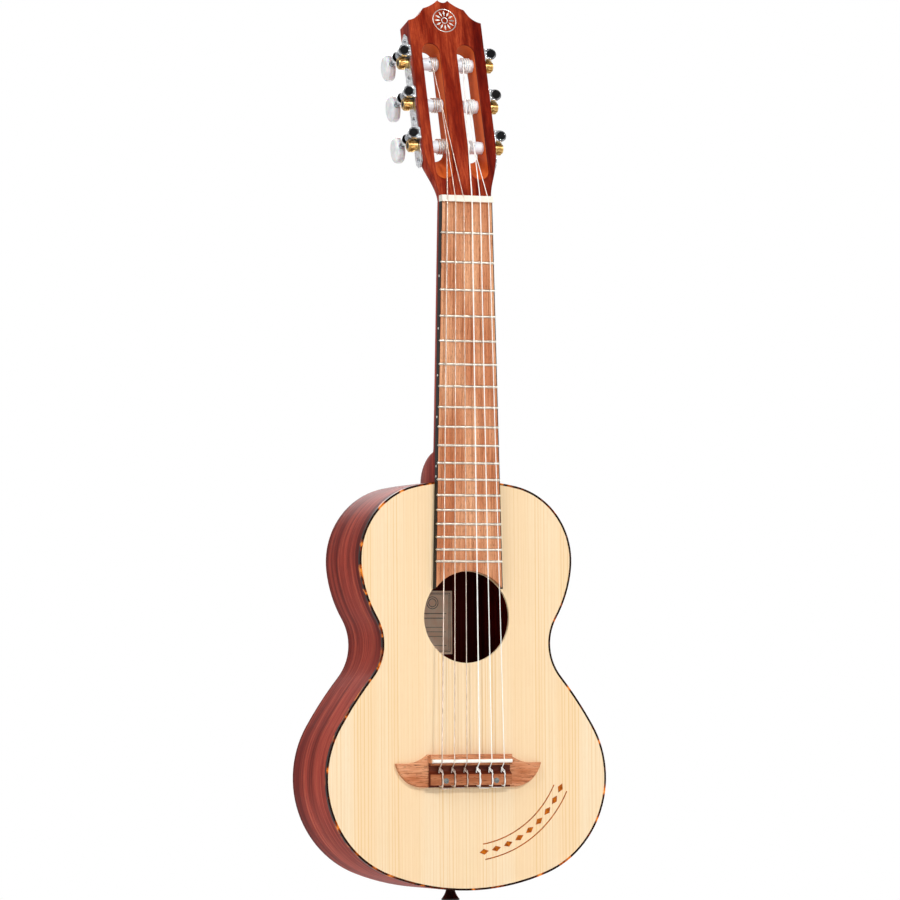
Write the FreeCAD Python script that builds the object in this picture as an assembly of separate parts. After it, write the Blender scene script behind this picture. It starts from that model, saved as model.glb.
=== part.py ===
"""Guitalele: a small six-string guitar with a slotted head and nylon strings.

Millimetres. X runs to the treble side, Y runs from the soundboard to the back and Z runs up
the neck. The origin is on the centreline where a wall hanger holds the neck under the head,
level with the front face of the soundboard.
"""
import FreeCAD
import Part
import os
from math import acos, asin, atan2, cos, pi, radians, sin, sqrt, tan

Vec = FreeCAD.Vector

# Whole instrument
scale_length = 433.0
hanger_above_nut = 16.0
body_depth = 75.0
cut_overrun = 4.0
glue_clearance = 0.05
frets_to_body = 12

# Body outline, the arcs of one side from the top centre down, each radius with its sweep
upper_top_radius = 201.0
shoulder_radius = 59.2
upper_bout_radius = 96.5
waist_radius = 40.0
flank_radius = 305.0
lower_bout_radius = 79.8
outline_sweeps_deg = (12.0, 84.3, 24.1, 69.7, 8.8, 99.4)

# Soundboard, back, ribs and binding
top_thickness = 2.5
back_thickness = 2.5
rib_thickness = 2.0
binding_width = 1.6
binding_height = 3.2
soundhole_from_nut = 323.0
soundhole_radius = 35.6

# Linings, blocks and braces inside the body
lining_width = 5.0
lining_height = 11.0
head_block_width = 56.0
head_block_length = 26.0
tail_block_width = 48.0
tail_block_length = 12.0
block_top_gap = 0.2
brace_width = 6.5
top_brace_height = 9.0
back_brace_height = 11.0
fan_brace_width = 5.0
fan_brace_height = 5.5
brace_gap = 0.3
top_braces_from_nut = (276.0, 370.0)
back_braces_from_nut = (270.0, 372.0, 452.0)
fan_angles_deg = (-9.0, 0.0, 9.0)
fan_spacing = 24.0
fan_top_from_nut = 378.0
fan_length = 122.0

# Label on the inside of the back
label_width = 33.5
label_height = 50.0
label_thickness = 0.2
label_from_nut = 326.0

# Fretboard, frets and side dots
board_width_at_nut = 42.6
board_width_at_body = 52.5
board_thickness = 5.5
board_length = 301.4
board_end_setback = 0.1
fret_count = 18
fret_crown_width = 2.1
fret_crown_height = 1.0
fret_tang_thickness = 0.6
fret_tang_depth = 1.8
fret_end_inset = 0.15
side_dot_radius = 0.95
side_dot_length = 1.6
double_dot_spacing = 8.0
single_dot_frets = (3, 5, 7, 9)
double_dot_fret = 12

# Nut and saddle
nut_thickness = 5.0
nut_height = 8.2
nut_back_drop = 1.6
nut_slot_clearance = 0.06
saddle_length = 66.2
saddle_thickness = 2.8
saddle_height = 11.4
saddle_compensation = 1.5
saddle_slot_floor = 3.6

# Bridge
bridge_block_width = 67.8
bridge_block_height = 8.6
bridge_front_to_saddle = 5.2
bridge_back_to_saddle = 20.2
bridge_wing_span = 121.0
bridge_wing_height = 3.6
bridge_wing_tip_to_saddle = 1.6
bridge_wing_scoop = 10.5
bridge_wing_scoop_sag = 1.4
bridge_wing_belly_width = 77.8
bridge_wing_belly_sag = 4.8
bridge_edge_round = 0.9
groove_from_saddle = 3.2
groove_width = 4.4
groove_floor = 4.0
tie_block_height = 8.0
tie_block_inset = 1.6
tie_block_slope = 2.8
tie_hole_radius = 0.95
tie_hole_height = 5.3
tie_slot_width = 1.7
tie_slot_depth = 0.6
dot_radius = 2.2
dot_thickness = 0.9
dot_from_saddle = 15.2
dot_spacing = 42.0
bridge_plate_width = 112.0
bridge_plate_length = 30.0
bridge_plate_thickness = 1.8

# Neck shaft and heel
neck_depth_at_nut = 19.4
neck_depth_at_heel = 22.0
heel_depth = 70.0
heel_length = 21.5
heel_blend_radius = 5.0
heel_overlap = 5.0
heel_steps = 14
head_seam_step = 0.15
tenon_width = 20.0
tenon_length = 14.0
tenon_front = 10.0
tenon_back = 60.0
tenon_clearance = 0.1

# Head, measured up its face from the nut and back from its face
head_tilt_deg = 16.5
head_face_rise = 3.0
head_thickness = 19.0
veneer_thickness = 1.5
head_half_width = 30.7
flare_start_deg = 8.0
flare_middle_deg = 20.0
flare_inner_radius = 70.0
shoulder_height = 148.0
crest_height = 166.2
crest_half_width = 4.2
crest_notch_drop = 2.0
crest_step_height = 158.8
crest_step_half_width = 17.2
crest_foot_height = 153.4
crest_foot_half_width = 21.0
crest_sag = 0.9
head_layer = 6.0
slot_spacing = 29.4
slot_width = 15.4
slot_front_start = 13.0
slot_back_start = 36.0
slot_end = 129.0

# Neck to head transition: how far up the head, how far back the wood reaches
transition_heights = (7.0, 16.0, 26.0, 36.0, 48.0)
transition_depths = (20.9, 19.3, 19.0, 19.0, 19.0)
transition_front_depth = 3.0
transition_squareness = (2.2, 2.8, 4.5, 9.0, 24.0)

# Tuning machines
first_post = 45.0
post_spacing = 35.0
posts_per_side = 3
roller_radius = 5.0
roller_clearance = 0.08
roller_end_gap = 0.3
roller_journal_radius = 3.4
roller_journal_length = 4.0
string_hole_radius = 0.8
gear_shank_radius = 2.4
gear_shank_length = 8.0
gear_teeth = 14
gear_pitch_radius = 4.7
gear_addendum = 0.38
gear_dedendum = 0.75
gear_thickness = 3.8
gear_backlash = 0.4
gear_boss_radius = 3.9
gear_boss_height = 1.1
gear_screw_radius = 2.6
gear_screw_depth = 0.9
gear_hub_radius = 4.0
worm_pitch_radius = 2.9
worm_addendum = 0.42
worm_dedendum = 0.6
worm_thread_share = 0.4
flank_angle_deg = 20.0
machine_offset = 6.0
machine_depth = 10.0
shaft_radius = 1.6
shaft_clearance = 0.06
collar_radius = 2.5
collar_length = 1.2
ferrule_radius = 2.3
ferrule_length = 3.0
button_depth = 29.6
button_length = 16.0
button_width = 21.5
button_thickness = 8.4
button_round = 3.3
button_socket = 6.0
button_end_radius = 6.2

# Side plates with their lugs, bushings and screws
plate_thickness = 1.2
plate_gap = 0.05
plate_low_end = 26.8
plate_high_end = 139.6
plate_end_taper = 4.4
plate_half_width = 8.8
plate_waist_half_width = 6.0
plate_tip_half_width = 1.4
plate_shoulder = 2.6
lug_thickness = 2.6
lug_spacing = 14.8
lug_radius = 4.5
bushing_radius = 3.0
bushing_flange_radius = 3.5
bushing_flange_thickness = 0.5
bushing_cap_thickness = 0.9
plate_screw_heights = (33.4, 67.7, 102.7, 134.0)
screw_head_radius = 1.9
screw_head_height = 1.0
screw_shank_radius = 1.0
screw_shank_length = 6.0
screw_slot_width = 0.5
screw_slot_depth = 0.45

# Strings, from the sixth to the first
string_diameters = (1.10, 0.90, 0.76, 1.02, 0.82, 0.71)
string_spread_at_nut = 34.4
string_spread_at_saddle = 52.0
string_above_nut_edge = 0.1
string_crown_gap = 0.03
nut_bend_radius = 9.0
nut_bend_from_front = 1.6
string_roller_gap = 0.2
string_turn_gap = 0.95
winding_turns = 3
winding_starts = (-8.8, -9.6, -13.4, 13.2, 14.2, 13.3)
winding_steps = (-1, -1, 1, 1, 1, -1)
posts_of_strings = (0, 1, 2, 2, 1, 0)
string_tail = 5.0
tie_run_offset = 1.9
tie_run_gap = 0.12
tie_bend_share = 0.45
tie_bend_radius = 1.6
tie_end_drop = 2.4

# Strap button
button_neck_radius = 3.4
button_flange_radius = 7.2
button_flare_length = 7.6
button_cap_length = 2.6
strap_screw_radius = 1.7
strap_screw_head_radius = 3.4
strap_screw_length = 26.0
strap_screw_head_depth = 1.6

# Derived places
nut_z = -hanger_above_nut
head_tilt = radians(head_tilt_deg)
head_up = Vec(0, sin(head_tilt), cos(head_tilt))
head_front = Vec(0, -cos(head_tilt), sin(head_tilt))
head_start = Vec(0, -head_face_rise, nut_z + nut_thickness)
saddle_z = nut_z - scale_length - saddle_compensation
soundhole_z = nut_z - soundhole_from_nut
machine_x = head_half_width + machine_offset
worm_above_post = gear_pitch_radius + worm_pitch_radius
thread_pitch = 2 * pi * gear_pitch_radius / gear_teeth
outline_radii = (upper_top_radius, shoulder_radius, upper_bout_radius,
                 -waist_radius, flank_radius, lower_bout_radius)


def fret_z(number):
    """Height of a fret slot, from the rule of the twelfth root of two."""
    return nut_z - scale_length * (1 - 2 ** (-number / 12))


body_top_z = fret_z(frets_to_body)


def line(start, end):
    return Part.LineSegment(start, end).toShape()


def arc(start, middle, end):
    return Part.Arc(start, middle, end).toShape()


def box(low, high):
    """Block between two corners given as tuples."""
    size = [b - a for a, b in zip(low, high)]
    return Part.makeBox(size[0], size[1], size[2], Vec(*low))


def mirrored(shape):
    """The same shape on the other side of the centreline."""
    return shape.mirror(Vec(0, 0, 0), Vec(1, 0, 0))


def polygon_prism(points, direction):
    """Prism on a closed polygon."""
    edges = [line(a, b) for a, b in zip(points, points[1:] + points[:1])]
    return Part.Face(Part.Wire(edges)).extrude(direction)


def compound(solids):
    return Part.makeCompound(solids)


def save(name, shape):
    """Write one node, as its single solid or as its group of solids."""
    solids = shape.Solids
    node = solids[0] if len(solids) == 1 else Part.makeCompound(solids)
    node.exportStep("parts/" + name + ".step")
    print(name, "solids", len(solids), "volume", round(node.Volume, 1), "valid", node.isValid())


# Body outline

def outline_side(inset):
    """Start, middle and end of each arc of the treble side, set in from the edge, as x and z."""
    x = 0
    z = body_top_z - inset
    heading = 0
    arcs = []
    for radius, sweep_deg in zip(outline_radii, outline_sweeps_deg):
        reach = radius - inset
        turn = radians(sweep_deg) if radius > 0 else -radians(sweep_deg)
        centre = (x + reach * sin(heading), z - reach * cos(heading))
        places = [(centre[0] - reach * sin(h), centre[1] + reach * cos(h))
                  for h in (heading, heading - turn / 2, heading - turn)]
        arcs.append(places)
        x, z = places[2]
        heading -= turn
    reach = -x / sin(heading)
    centre_z = z - reach * cos(heading)
    middle = (heading - pi) / 2
    arcs.append([(x, z), (-reach * sin(middle), centre_z + reach * cos(middle)), (0, centre_z - reach)])
    return arcs


def outline_wire(inset, y):
    """Closed outline of the body, set in from the edge, at one depth."""
    side = outline_side(inset)
    edges = []
    for places in side:
        edges.append(arc(*[Vec(x, y, z) for x, z in places]))
    for places in reversed(side):
        edges.append(arc(*[Vec(-x, y, z) for x, z in reversed(places)]))
    return Part.Wire(edges)


def body_slab(inset, y_front, y_back):
    """Slab of the body's outline between two depths."""
    return Part.Face(outline_wire(inset, y_front)).extrude(Vec(0, y_back - y_front, 0))


def body_ring(outer_inset, inner_inset, y_front, y_back):
    inner = body_slab(inner_inset, y_front - cut_overrun, y_back + cut_overrun)
    return body_slab(outer_inset, y_front, y_back).cut(inner)


body_bottom_z = outline_side(0)[-1][2][1]


# Soundbox

def tenon_block(clearance):
    """Tenon of the neck, or the pocket for it when a clearance is given."""
    half = tenon_width / 2 + clearance
    low = (-half, tenon_front - clearance, body_top_z - tenon_length - clearance)
    high = (half, tenon_back + clearance, body_top_z + heel_overlap)
    return box(low, high)


def make_soundboard():
    board = body_slab(binding_width, 0, top_thickness)
    hole = Part.makeCylinder(soundhole_radius, top_thickness + 2 * cut_overrun,
                             Vec(0, -cut_overrun, soundhole_z), Vec(0, 1, 0))
    return board.cut(hole)


def make_back():
    return body_slab(0, body_depth - back_thickness, body_depth)


def make_binding():
    return body_ring(0, binding_width, 0, binding_height)


def make_ribs(binding):
    """The two bent sides, halved on the centreline, rebated for the binding."""
    ring = body_ring(0, rib_thickness, top_thickness, body_depth - back_thickness)
    ring = ring.cut(binding).cut(tenon_block(tenon_clearance))
    reach = body_depth + cut_overrun
    low_z = body_bottom_z - cut_overrun
    high_z = body_top_z + cut_overrun
    wide = 2 * body_depth
    treble = ring.common(box((0, -cut_overrun, low_z), (wide, reach, high_z)))
    bass = ring.common(box((-wide, -cut_overrun, low_z), (0, reach, high_z)))
    return bass, treble


def make_blocks():
    """Head block with its mortise, and tail block."""
    inside = body_slab(rib_thickness, top_thickness, body_depth - back_thickness)
    half = head_block_width / 2
    head = box((-half, 0, body_top_z - head_block_length), (half, body_depth, body_top_z + cut_overrun))
    head = inside.common(head).cut(tenon_block(tenon_clearance))
    half = tail_block_width / 2
    tail_top = body_bottom_z + rib_thickness + tail_block_length
    tail = inside.common(box((-half, 0, body_bottom_z - cut_overrun), (half, body_depth, tail_top)))
    screw_hole = Part.makeCylinder(strap_screw_radius, strap_screw_length,
                                   Vec(0, body_depth / 2, body_bottom_z), Vec(0, 0, 1))
    return head, tail.cut(screw_hole)


def make_linings(blocks):
    """Strips glued in the corners between the ribs and the two plates."""
    inner = rib_thickness + lining_width
    front = body_ring(rib_thickness, inner, top_thickness, top_thickness + lining_height)
    rear_y = body_depth - back_thickness
    rear = body_ring(rib_thickness, inner, rear_y - lining_height, rear_y)
    for block in blocks:
        front = front.cut(block)
        rear = rear.cut(block)
    return front.cut(tenon_block(tenon_clearance)), rear.cut(tenon_block(tenon_clearance))


def cross_brace(z, y_plate, height, side):
    """Bar across the body, glued to one plate and rounded away from it."""
    half = brace_width / 2
    crown = Vec(0, y_plate + side * height, z)
    foot_y = y_plate + side * (height - half)
    start = Vec(0, y_plate, z - half)
    section = [
        line(start, Vec(0, foot_y, z - half)),
        arc(Vec(0, foot_y, z - half), crown, Vec(0, foot_y, z + half)),
        line(Vec(0, foot_y, z + half), Vec(0, y_plate, z + half)),
        line(Vec(0, y_plate, z + half), start),
    ]
    bar = Part.Face(Part.Wire(section)).extrude(Vec(2 * body_depth * 2, 0, 0))
    bar.translate(Vec(-2 * body_depth, 0, 0))
    room = body_slab(rib_thickness + lining_width + brace_gap, 0, body_depth)
    return bar.common(room)


def make_top_braces(plate):
    bars = [cross_brace(nut_z - z, top_thickness, top_brace_height, 1) for z in top_braces_from_nut]
    room = body_slab(rib_thickness + lining_width + brace_gap, 0, body_depth)
    for number, angle in enumerate(fan_angles_deg):
        half = fan_brace_width / 2
        x = (number - (len(fan_angles_deg) - 1) / 2) * fan_spacing
        high = nut_z - fan_top_from_nut
        fan = box((x - half, top_thickness, high - fan_length),
                  (x + half, top_thickness + fan_brace_height, high))
        fan.rotate(Vec(x, 0, high), Vec(0, 1, 0), -angle)
        bars.append(fan.common(room).cut(plate))
    return compound(bars)


def make_back_braces():
    rear = body_depth - back_thickness
    return compound([cross_brace(nut_z - z, rear, back_brace_height, -1) for z in back_braces_from_nut])


def make_bridge_plate():
    half = bridge_plate_width / 2
    middle = saddle_z - (bridge_back_to_saddle - bridge_front_to_saddle) / 2
    low = (-half, top_thickness, middle - bridge_plate_length / 2)
    high = (half, top_thickness + bridge_plate_thickness, middle + bridge_plate_length / 2)
    return box(low, high)


def make_label():
    rear = body_depth - back_thickness
    middle = nut_z - label_from_nut
    return box((-label_width / 2, rear - label_thickness, middle - label_height / 2),
               (label_width / 2, rear, middle + label_height / 2))


# Fretboard

def board_half_width(z):
    """Half the width of the fretboard and neck, which widen evenly from the nut."""
    slope = (board_width_at_body - board_width_at_nut) / (nut_z - body_top_z)
    return (board_width_at_nut + slope * (nut_z - z)) / 2


def board_blank():
    low = nut_z - board_length
    near = board_half_width(nut_z)
    far = board_half_width(low)
    points = [Vec(-near, 0, nut_z), Vec(near, 0, nut_z), Vec(far, 0, low), Vec(-far, 0, low)]
    blank = polygon_prism(points, Vec(0, -board_thickness, 0))
    bite = Part.makeCylinder(soundhole_radius + board_end_setback, board_thickness + 2 * cut_overrun,
                             Vec(0, cut_overrun, soundhole_z), Vec(0, -1, 0))
    return blank.cut(bite)


def side_dot_places():
    places = [(fret_z(n) + fret_z(n - 1)) / 2 for n in single_dot_frets]
    middle = (fret_z(double_dot_fret) + fret_z(double_dot_fret - 1)) / 2
    return places + [middle - double_dot_spacing / 2, middle + double_dot_spacing / 2]


def make_side_dots(blank):
    """Short rods set in the bass edge of the fretboard, cut flush with it."""
    dots = []
    for z in side_dot_places():
        edge = board_half_width(z)
        rod = Part.makeCylinder(side_dot_radius, side_dot_length + cut_overrun,
                                Vec(-edge - cut_overrun, -board_thickness / 2, z), Vec(1, 0, 0))
        dots.append(rod.common(blank))
    return compound(dots)


def make_fret(number):
    """Crown with its tang, as long as the fretboard is wide."""
    z = fret_z(number)
    half = fret_crown_width / 2
    face = -board_thickness
    reach = board_half_width(z) - fret_end_inset
    tang = fret_tang_thickness / 2
    floor = face + fret_tang_depth
    start = Vec(-reach, face, z - half)
    section = [
        arc(start, Vec(-reach, face - fret_crown_height, z), Vec(-reach, face, z + half)),
        line(Vec(-reach, face, z + half), Vec(-reach, face, z + tang)),
        line(Vec(-reach, face, z + tang), Vec(-reach, floor, z + tang)),
        line(Vec(-reach, floor, z + tang), Vec(-reach, floor, z - tang)),
        line(Vec(-reach, floor, z - tang), Vec(-reach, face, z - tang)),
        line(Vec(-reach, face, z - tang), start),
    ]
    return Part.Face(Part.Wire(section)).extrude(Vec(2 * reach, 0, 0))


def make_fretboard(blank, dots):
    board = blank.cut(dots)
    slots = []
    for number in range(1, fret_count + 1):
        z = fret_z(number)
        half = fret_tang_thickness / 2 + glue_clearance
        wide = board_half_width(z) + cut_overrun
        slots.append(box((-wide, -board_thickness - cut_overrun, z - half),
                         (wide, -board_thickness + fret_tang_depth + glue_clearance, z + half)))
    return board.cut(compound(slots))


# Head

def head_point(x, height, depth):
    """Place on the head: across, up its face from the nut, and back from its face."""
    return head_start + Vec(x, 0, 0) + head_up * height - head_front * depth


def flare_places():
    """Foot, inflection and top of the curve that widens the neck into the head, and its radii."""
    start = radians(flare_start_deg)
    middle = radians(flare_middle_deg)
    foot_x = board_width_at_nut / 2
    bend_x = foot_x + flare_inner_radius * (cos(start) - cos(middle))
    bend_s = flare_inner_radius * (sin(middle) - sin(start))
    outer_radius = (head_half_width - bend_x) / (1 - cos(middle))
    top_s = bend_s + outer_radius * sin(middle)
    return (foot_x, 0), (bend_x, bend_s), (head_half_width, top_s), outer_radius


def flare_half_width(height):
    """Half the width of the head at a height up its face."""
    foot, bend, top, outer_radius = flare_places()
    start = radians(flare_start_deg)
    if height <= bend[1]:
        angle = asin(height / flare_inner_radius + sin(start))
        return foot[0] + flare_inner_radius * (cos(start) - cos(angle))
    if height >= top[1]:
        return head_half_width
    angle = asin((top[1] - height) / outer_radius)
    return head_half_width - outer_radius * (1 - cos(angle))


def sagged(start, end, sag):
    """Point beside the middle of two places, as x and height, set off to their left."""
    across = (end[0] - start[0], end[1] - start[1])
    length = sqrt(across[0] ** 2 + across[1] ** 2)
    return ((start[0] + end[0]) / 2 - across[1] / length * sag,
            (start[1] + end[1]) / 2 + across[0] / length * sag)


def head_side():
    """Edges of the treble half of the head, from the nut up to the peak of the crest."""
    foot, bend, top, outer_radius = flare_places()
    low = (foot[0], -cut_overrun)
    lower_middle = (flare_half_width(bend[1] / 2), bend[1] / 2)
    upper_middle = (flare_half_width((bend[1] + top[1]) / 2), (bend[1] + top[1]) / 2)
    shoulder = (head_half_width, shoulder_height)
    crest_foot = (crest_foot_half_width, crest_foot_height)
    step = (crest_step_half_width, crest_step_height)
    peak = (crest_half_width, crest_height)
    return [
        (low, foot), (foot, lower_middle, bend), (bend, upper_middle, top), (top, shoulder),
        (shoulder, sagged(shoulder, crest_foot, crest_sag), crest_foot), (crest_foot, step),
        (step, sagged(step, peak, crest_sag), peak),
    ]


def head_layer_solid(depth_front, depth_back):
    """Layer of the head's outline between two depths behind its face."""
    edges = []
    for places in head_side():
        points = [head_point(x, s, depth_front) for x, s in places]
        edges.append(line(*points) if len(points) == 2 else arc(*points))
    edges.append(arc(head_point(crest_half_width, crest_height, depth_front),
                     head_point(0, crest_height - crest_notch_drop, depth_front),
                     head_point(-crest_half_width, crest_height, depth_front)))
    for places in reversed(head_side()):
        points = [head_point(-x, s, depth_front) for x, s in reversed(places)]
        edges.append(line(*points) if len(points) == 2 else arc(*points))
    foot_x = board_width_at_nut / 2
    edges.append(line(head_point(-foot_x, -cut_overrun, depth_front),
                      head_point(foot_x, -cut_overrun, depth_front)))
    return Part.Face(Part.Wire(edges)).extrude(head_front * (depth_front - depth_back))


def round_slot(middle_x, low, high, depth, direction):
    """Prism of a slot with round ends, drawn at one depth and pushed along a direction."""
    radius = slot_width / 2
    a = head_point(middle_x - radius, low + radius, depth)
    b = head_point(middle_x + radius, low + radius, depth)
    c = head_point(middle_x + radius, high - radius, depth)
    d = head_point(middle_x - radius, high - radius, depth)
    edges = [arc(a, head_point(middle_x, low, depth), b), line(b, c),
             arc(c, head_point(middle_x, high, depth), d), line(d, a)]
    return Part.Face(Part.Wire(edges)).extrude(direction)


def head_slots():
    """The two long slots, open at the back, with a ramp at the nut end."""
    ramp_slope = (slot_back_start - slot_front_start) / head_thickness
    cuts = []
    for side in (-1, 1):
        middle_x = side * slot_spacing / 2
        straight = -head_front * (head_thickness + 2 * cut_overrun)
        cuts.append(round_slot(middle_x, slot_back_start, slot_end, -cut_overrun, straight))
        reach = head_thickness + 2 * cut_overrun
        skew = -head_front * reach + head_up * (reach * ramp_slope)
        low = slot_front_start - cut_overrun * ramp_slope
        high = slot_back_start + 2 * slot_width
        cuts.append(round_slot(middle_x, low, high, -cut_overrun, skew))
    return cuts


def post_heights():
    return [first_post + n * post_spacing for n in range(posts_per_side)]


def roller_bores():
    """Holes through the cheeks and into the centre rib of the head for the rollers."""
    inner_wall = slot_spacing / 2 - slot_width / 2
    bores = []
    for side in (-1, 1):
        for height in post_heights():
            cheek = Part.makeCylinder(roller_radius + roller_clearance, head_half_width - slot_spacing / 2 + cut_overrun,
                                      head_point(side * slot_spacing / 2, height, machine_depth), Vec(side, 0, 0))
            depth = roller_journal_length + roller_end_gap
            rib = Part.makeCylinder(roller_journal_radius + roller_clearance, depth + slot_width / 2,
                                    head_point(side * (inner_wall - depth), height, machine_depth), Vec(side, 0, 0))
            bores += [cheek, rib]
    return bores


# Neck

def d_section(front, back, half_width, squareness):
    """Closed neck section: flat in front, bulging to the back, fuller as squareness grows."""
    across = Vec(1, 0, 0)
    depth = back - front

    def place(angle_deg, side):
        c = cos(radians(angle_deg)) ** (2 / squareness)
        s = sin(radians(angle_deg)) ** (2 / squareness)
        return front + across * (side * half_width * c) + depth * s

    right = front + across * half_width
    left = front - across * half_width
    return Part.Wire([
        line(left, right),
        arc(right, place(22.5, 1), place(45, 1)),
        arc(place(45, 1), back, place(45, -1)),
        arc(place(45, -1), place(22.5, -1), left),
    ])


def shaft_section(z, depth):
    """Half ellipse behind a flat front, as wide as the fretboard there."""
    half = board_half_width(z)
    unit = Part.makeCircle(1, Vec(0, 0, 0), Vec(0, 0, 1), 0, 180)
    spread = FreeCAD.Matrix(
        half, 0, 0, 0,
        0, depth, 0, 0,
        0, 0, 1, z,
        0, 0, 0, 1)
    return Part.Wire([unit.transformGeometry(spread), line(Vec(-half, 0, z), Vec(half, 0, z))])


def heel_sections():
    """Sections up the heel: a quarter ellipse in side view, then a hollow round into the shaft."""
    rise = heel_depth - neck_depth_at_heel
    last = acos(heel_blend_radius / rise)
    sections = [shaft_section(body_top_z - heel_overlap, heel_depth)]
    for step in range(heel_steps + 1):
        angle = last * step / heel_steps
        sections.append(shaft_section(body_top_z + heel_length * sin(angle),
                                      neck_depth_at_heel + rise * cos(angle)))
    foot = body_top_z + heel_length * sin(last) + heel_blend_radius
    for step in range(1, heel_steps + 1):
        angle = pi / 2 * step / heel_steps
        sections.append(shaft_section(foot - heel_blend_radius * cos(angle),
                                      neck_depth_at_heel + heel_blend_radius * (1 - sin(angle))))
    return sections, foot


def make_neck():
    sections, heel_top = heel_sections()
    heel = Part.makeLoft(sections, True, True)
    shaft = Part.makeLoft([shaft_section(heel_top, neck_depth_at_heel),
                           shaft_section(nut_z, neck_depth_at_nut)], True, True)
    sections = [d_section(Vec(0, 0, nut_z), Vec(0, neck_depth_at_nut - head_seam_step, nut_z),
                          board_half_width(nut_z) - head_seam_step, 2)]
    for height, depth, squareness in zip(transition_heights, transition_depths, transition_squareness):
        sections.append(d_section(head_point(0, height, transition_front_depth),
                                  head_point(0, height, depth), flare_half_width(height), squareness))
    transition = Part.makeLoft(sections, True, False)
    cheeks = box((-head_half_width, -crest_height, nut_z - nut_thickness),
                 (head_half_width, crest_height, crest_height))
    transition = transition.common(cheeks)
    front_layer = head_layer_solid(veneer_thickness, head_layer)
    plate = head_layer_solid(veneer_thickness, head_thickness)
    below = box((-2 * head_half_width, -2 * crest_height, nut_z - crest_height),
                (2 * head_half_width, 2 * crest_height, nut_z + transition_heights[-1]))
    below.rotate(Vec(0, 0, nut_z + transition_heights[-1]), Vec(1, 0, 0), -head_tilt_deg)
    below.translate(head_point(0, transition_heights[-1], 0) - Vec(0, 0, nut_z + transition_heights[-1]))
    plate = plate.cut(below)
    neck = shaft.fuse([heel, transition, front_layer, plate])
    ledge = box((-head_half_width, -2 * body_depth, nut_z - 2 * nut_thickness),
                (head_half_width, 0, nut_z + nut_thickness))
    neck = neck.cut(ledge)
    neck = neck.cut(body_slab(0, -body_depth, 2 * body_depth))
    neck = neck.cut(compound(head_slots())).cut(compound(roller_bores()))
    neck = neck.cut(compound(plate_screw_bores()))
    root = tenon_block(0).common(body_slab(0, 0, body_depth))
    return neck.fuse(root).removeSplitter()


def make_veneer():
    veneer = head_layer_solid(0, veneer_thickness).cut(compound(head_slots()))
    ledge = box((-2 * head_half_width, -2 * body_depth, nut_z - 2 * crest_height),
                (2 * head_half_width, 2 * body_depth, nut_z + nut_thickness))
    return veneer.cut(ledge)


# Tubes along straight runs and tangent arcs

def corner(before, vertex, after, radius):
    """Start, middle and end of the arc that rounds a corner of a path."""
    to_before = (before - vertex).normalize()
    to_after = (after - vertex).normalize()
    half = acos(max(-1, min(1, to_before.dot(to_after)))) / 2
    reach = radius / tan(half)
    inward = (to_before + to_after).normalize()
    middle = vertex + inward * (radius / sin(half) - radius)
    return vertex + to_before * reach, middle, vertex + to_after * reach


def rounded_run(points, radii):
    """Edges through a list of corners, one radius for each inner corner, and the last place."""
    edges = []
    place = points[0]
    for index, radius in enumerate(radii):
        start, middle, end = corner(points[index], points[index + 1], points[index + 2], radius)
        edges.append(line(place, start))
        edges.append(arc(start, middle, end))
        place = end
    edges.append(line(place, points[-1]))
    return edges


def biarc(start, start_way, end, end_way):
    """Two tangent arcs from one place and direction to another."""
    chord = end - start
    total = start_way + end_way
    spread = 2 * (1 - start_way.dot(end_way))
    along = chord.dot(total)
    reach = (-along + sqrt(along ** 2 + spread * chord.dot(chord))) / spread
    first = start + start_way * reach
    second = end - end_way * reach
    joint = (first + second) * 0.5
    edges = []
    for a, control, b in ((start, first, joint), (joint, second, end)):
        weight = (b - a).Length / (2 * reach)
        middle = (a + control * (2 * weight) + b) * (1 / (2 + 2 * weight))
        edges.append(arc(a, middle, b))
    return edges


def tube(edges, radius):
    """Round tube along a path of tangent runs and arcs."""
    path = Part.Wire(edges)
    first = edges[0]
    way = first.tangentAt(first.FirstParameter)
    ring = Part.Wire([Part.Circle(first.valueAt(first.FirstParameter), way, radius).toShape()])
    return path.makePipeShell([ring], True, False)


# Strings

def string_x(number, spread):
    return spread * (number / (len(string_diameters) - 1) - 0.5)


def saddle_corner(number, radius):
    """Where the two runs over the round saddle crest would meet."""
    reach = saddle_thickness / 2 + radius + string_crown_gap
    crest = Vec(0, -saddle_height + saddle_thickness / 2, saddle_z)
    nut_y = -(nut_height + radius)
    rise = atan2(crest.y - reach - nut_y, nut_z - saddle_z)
    hole_z = saddle_z - groove_from_saddle - groove_width
    drop = atan2(saddle_height + radius - tie_hole_height, saddle_z - hole_z)
    front_normal = Vec(0, -cos(rise), -sin(rise))
    rear_normal = Vec(0, -cos(drop), -sin(drop))
    shared = (front_normal + rear_normal) * (reach / (1 + front_normal.dot(rear_normal)))
    place = crest + shared
    return Vec(string_x(number, string_spread_at_saddle), place.y, place.z), reach


def nut_corner(number, radius):
    """Where the run along the neck turns down towards the head."""
    return Vec(string_x(number, string_spread_at_nut), -(nut_height + string_above_nut_edge) + radius,
               nut_z + nut_bend_from_front)


def tie_points(number, radius):
    """Corners of the loop that ties a string to the bridge, from its cut end to its hole."""
    x = string_x(number, string_spread_at_saddle)
    run_x = x + tie_run_offset
    front = saddle_z - groove_from_saddle - groove_width + radius + tie_run_gap
    rear = saddle_z - bridge_back_to_saddle + tie_block_inset - radius - tie_run_gap
    top_y = -(tie_block_height - tie_slot_depth + radius + tie_run_gap)
    return [
        Vec(run_x, top_y + tie_end_drop, front),
        Vec(run_x, top_y, front),
        Vec(run_x, top_y, rear),
        Vec(x, -tie_hole_height, rear),
        Vec(x, -tie_hole_height, front),
    ]


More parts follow.
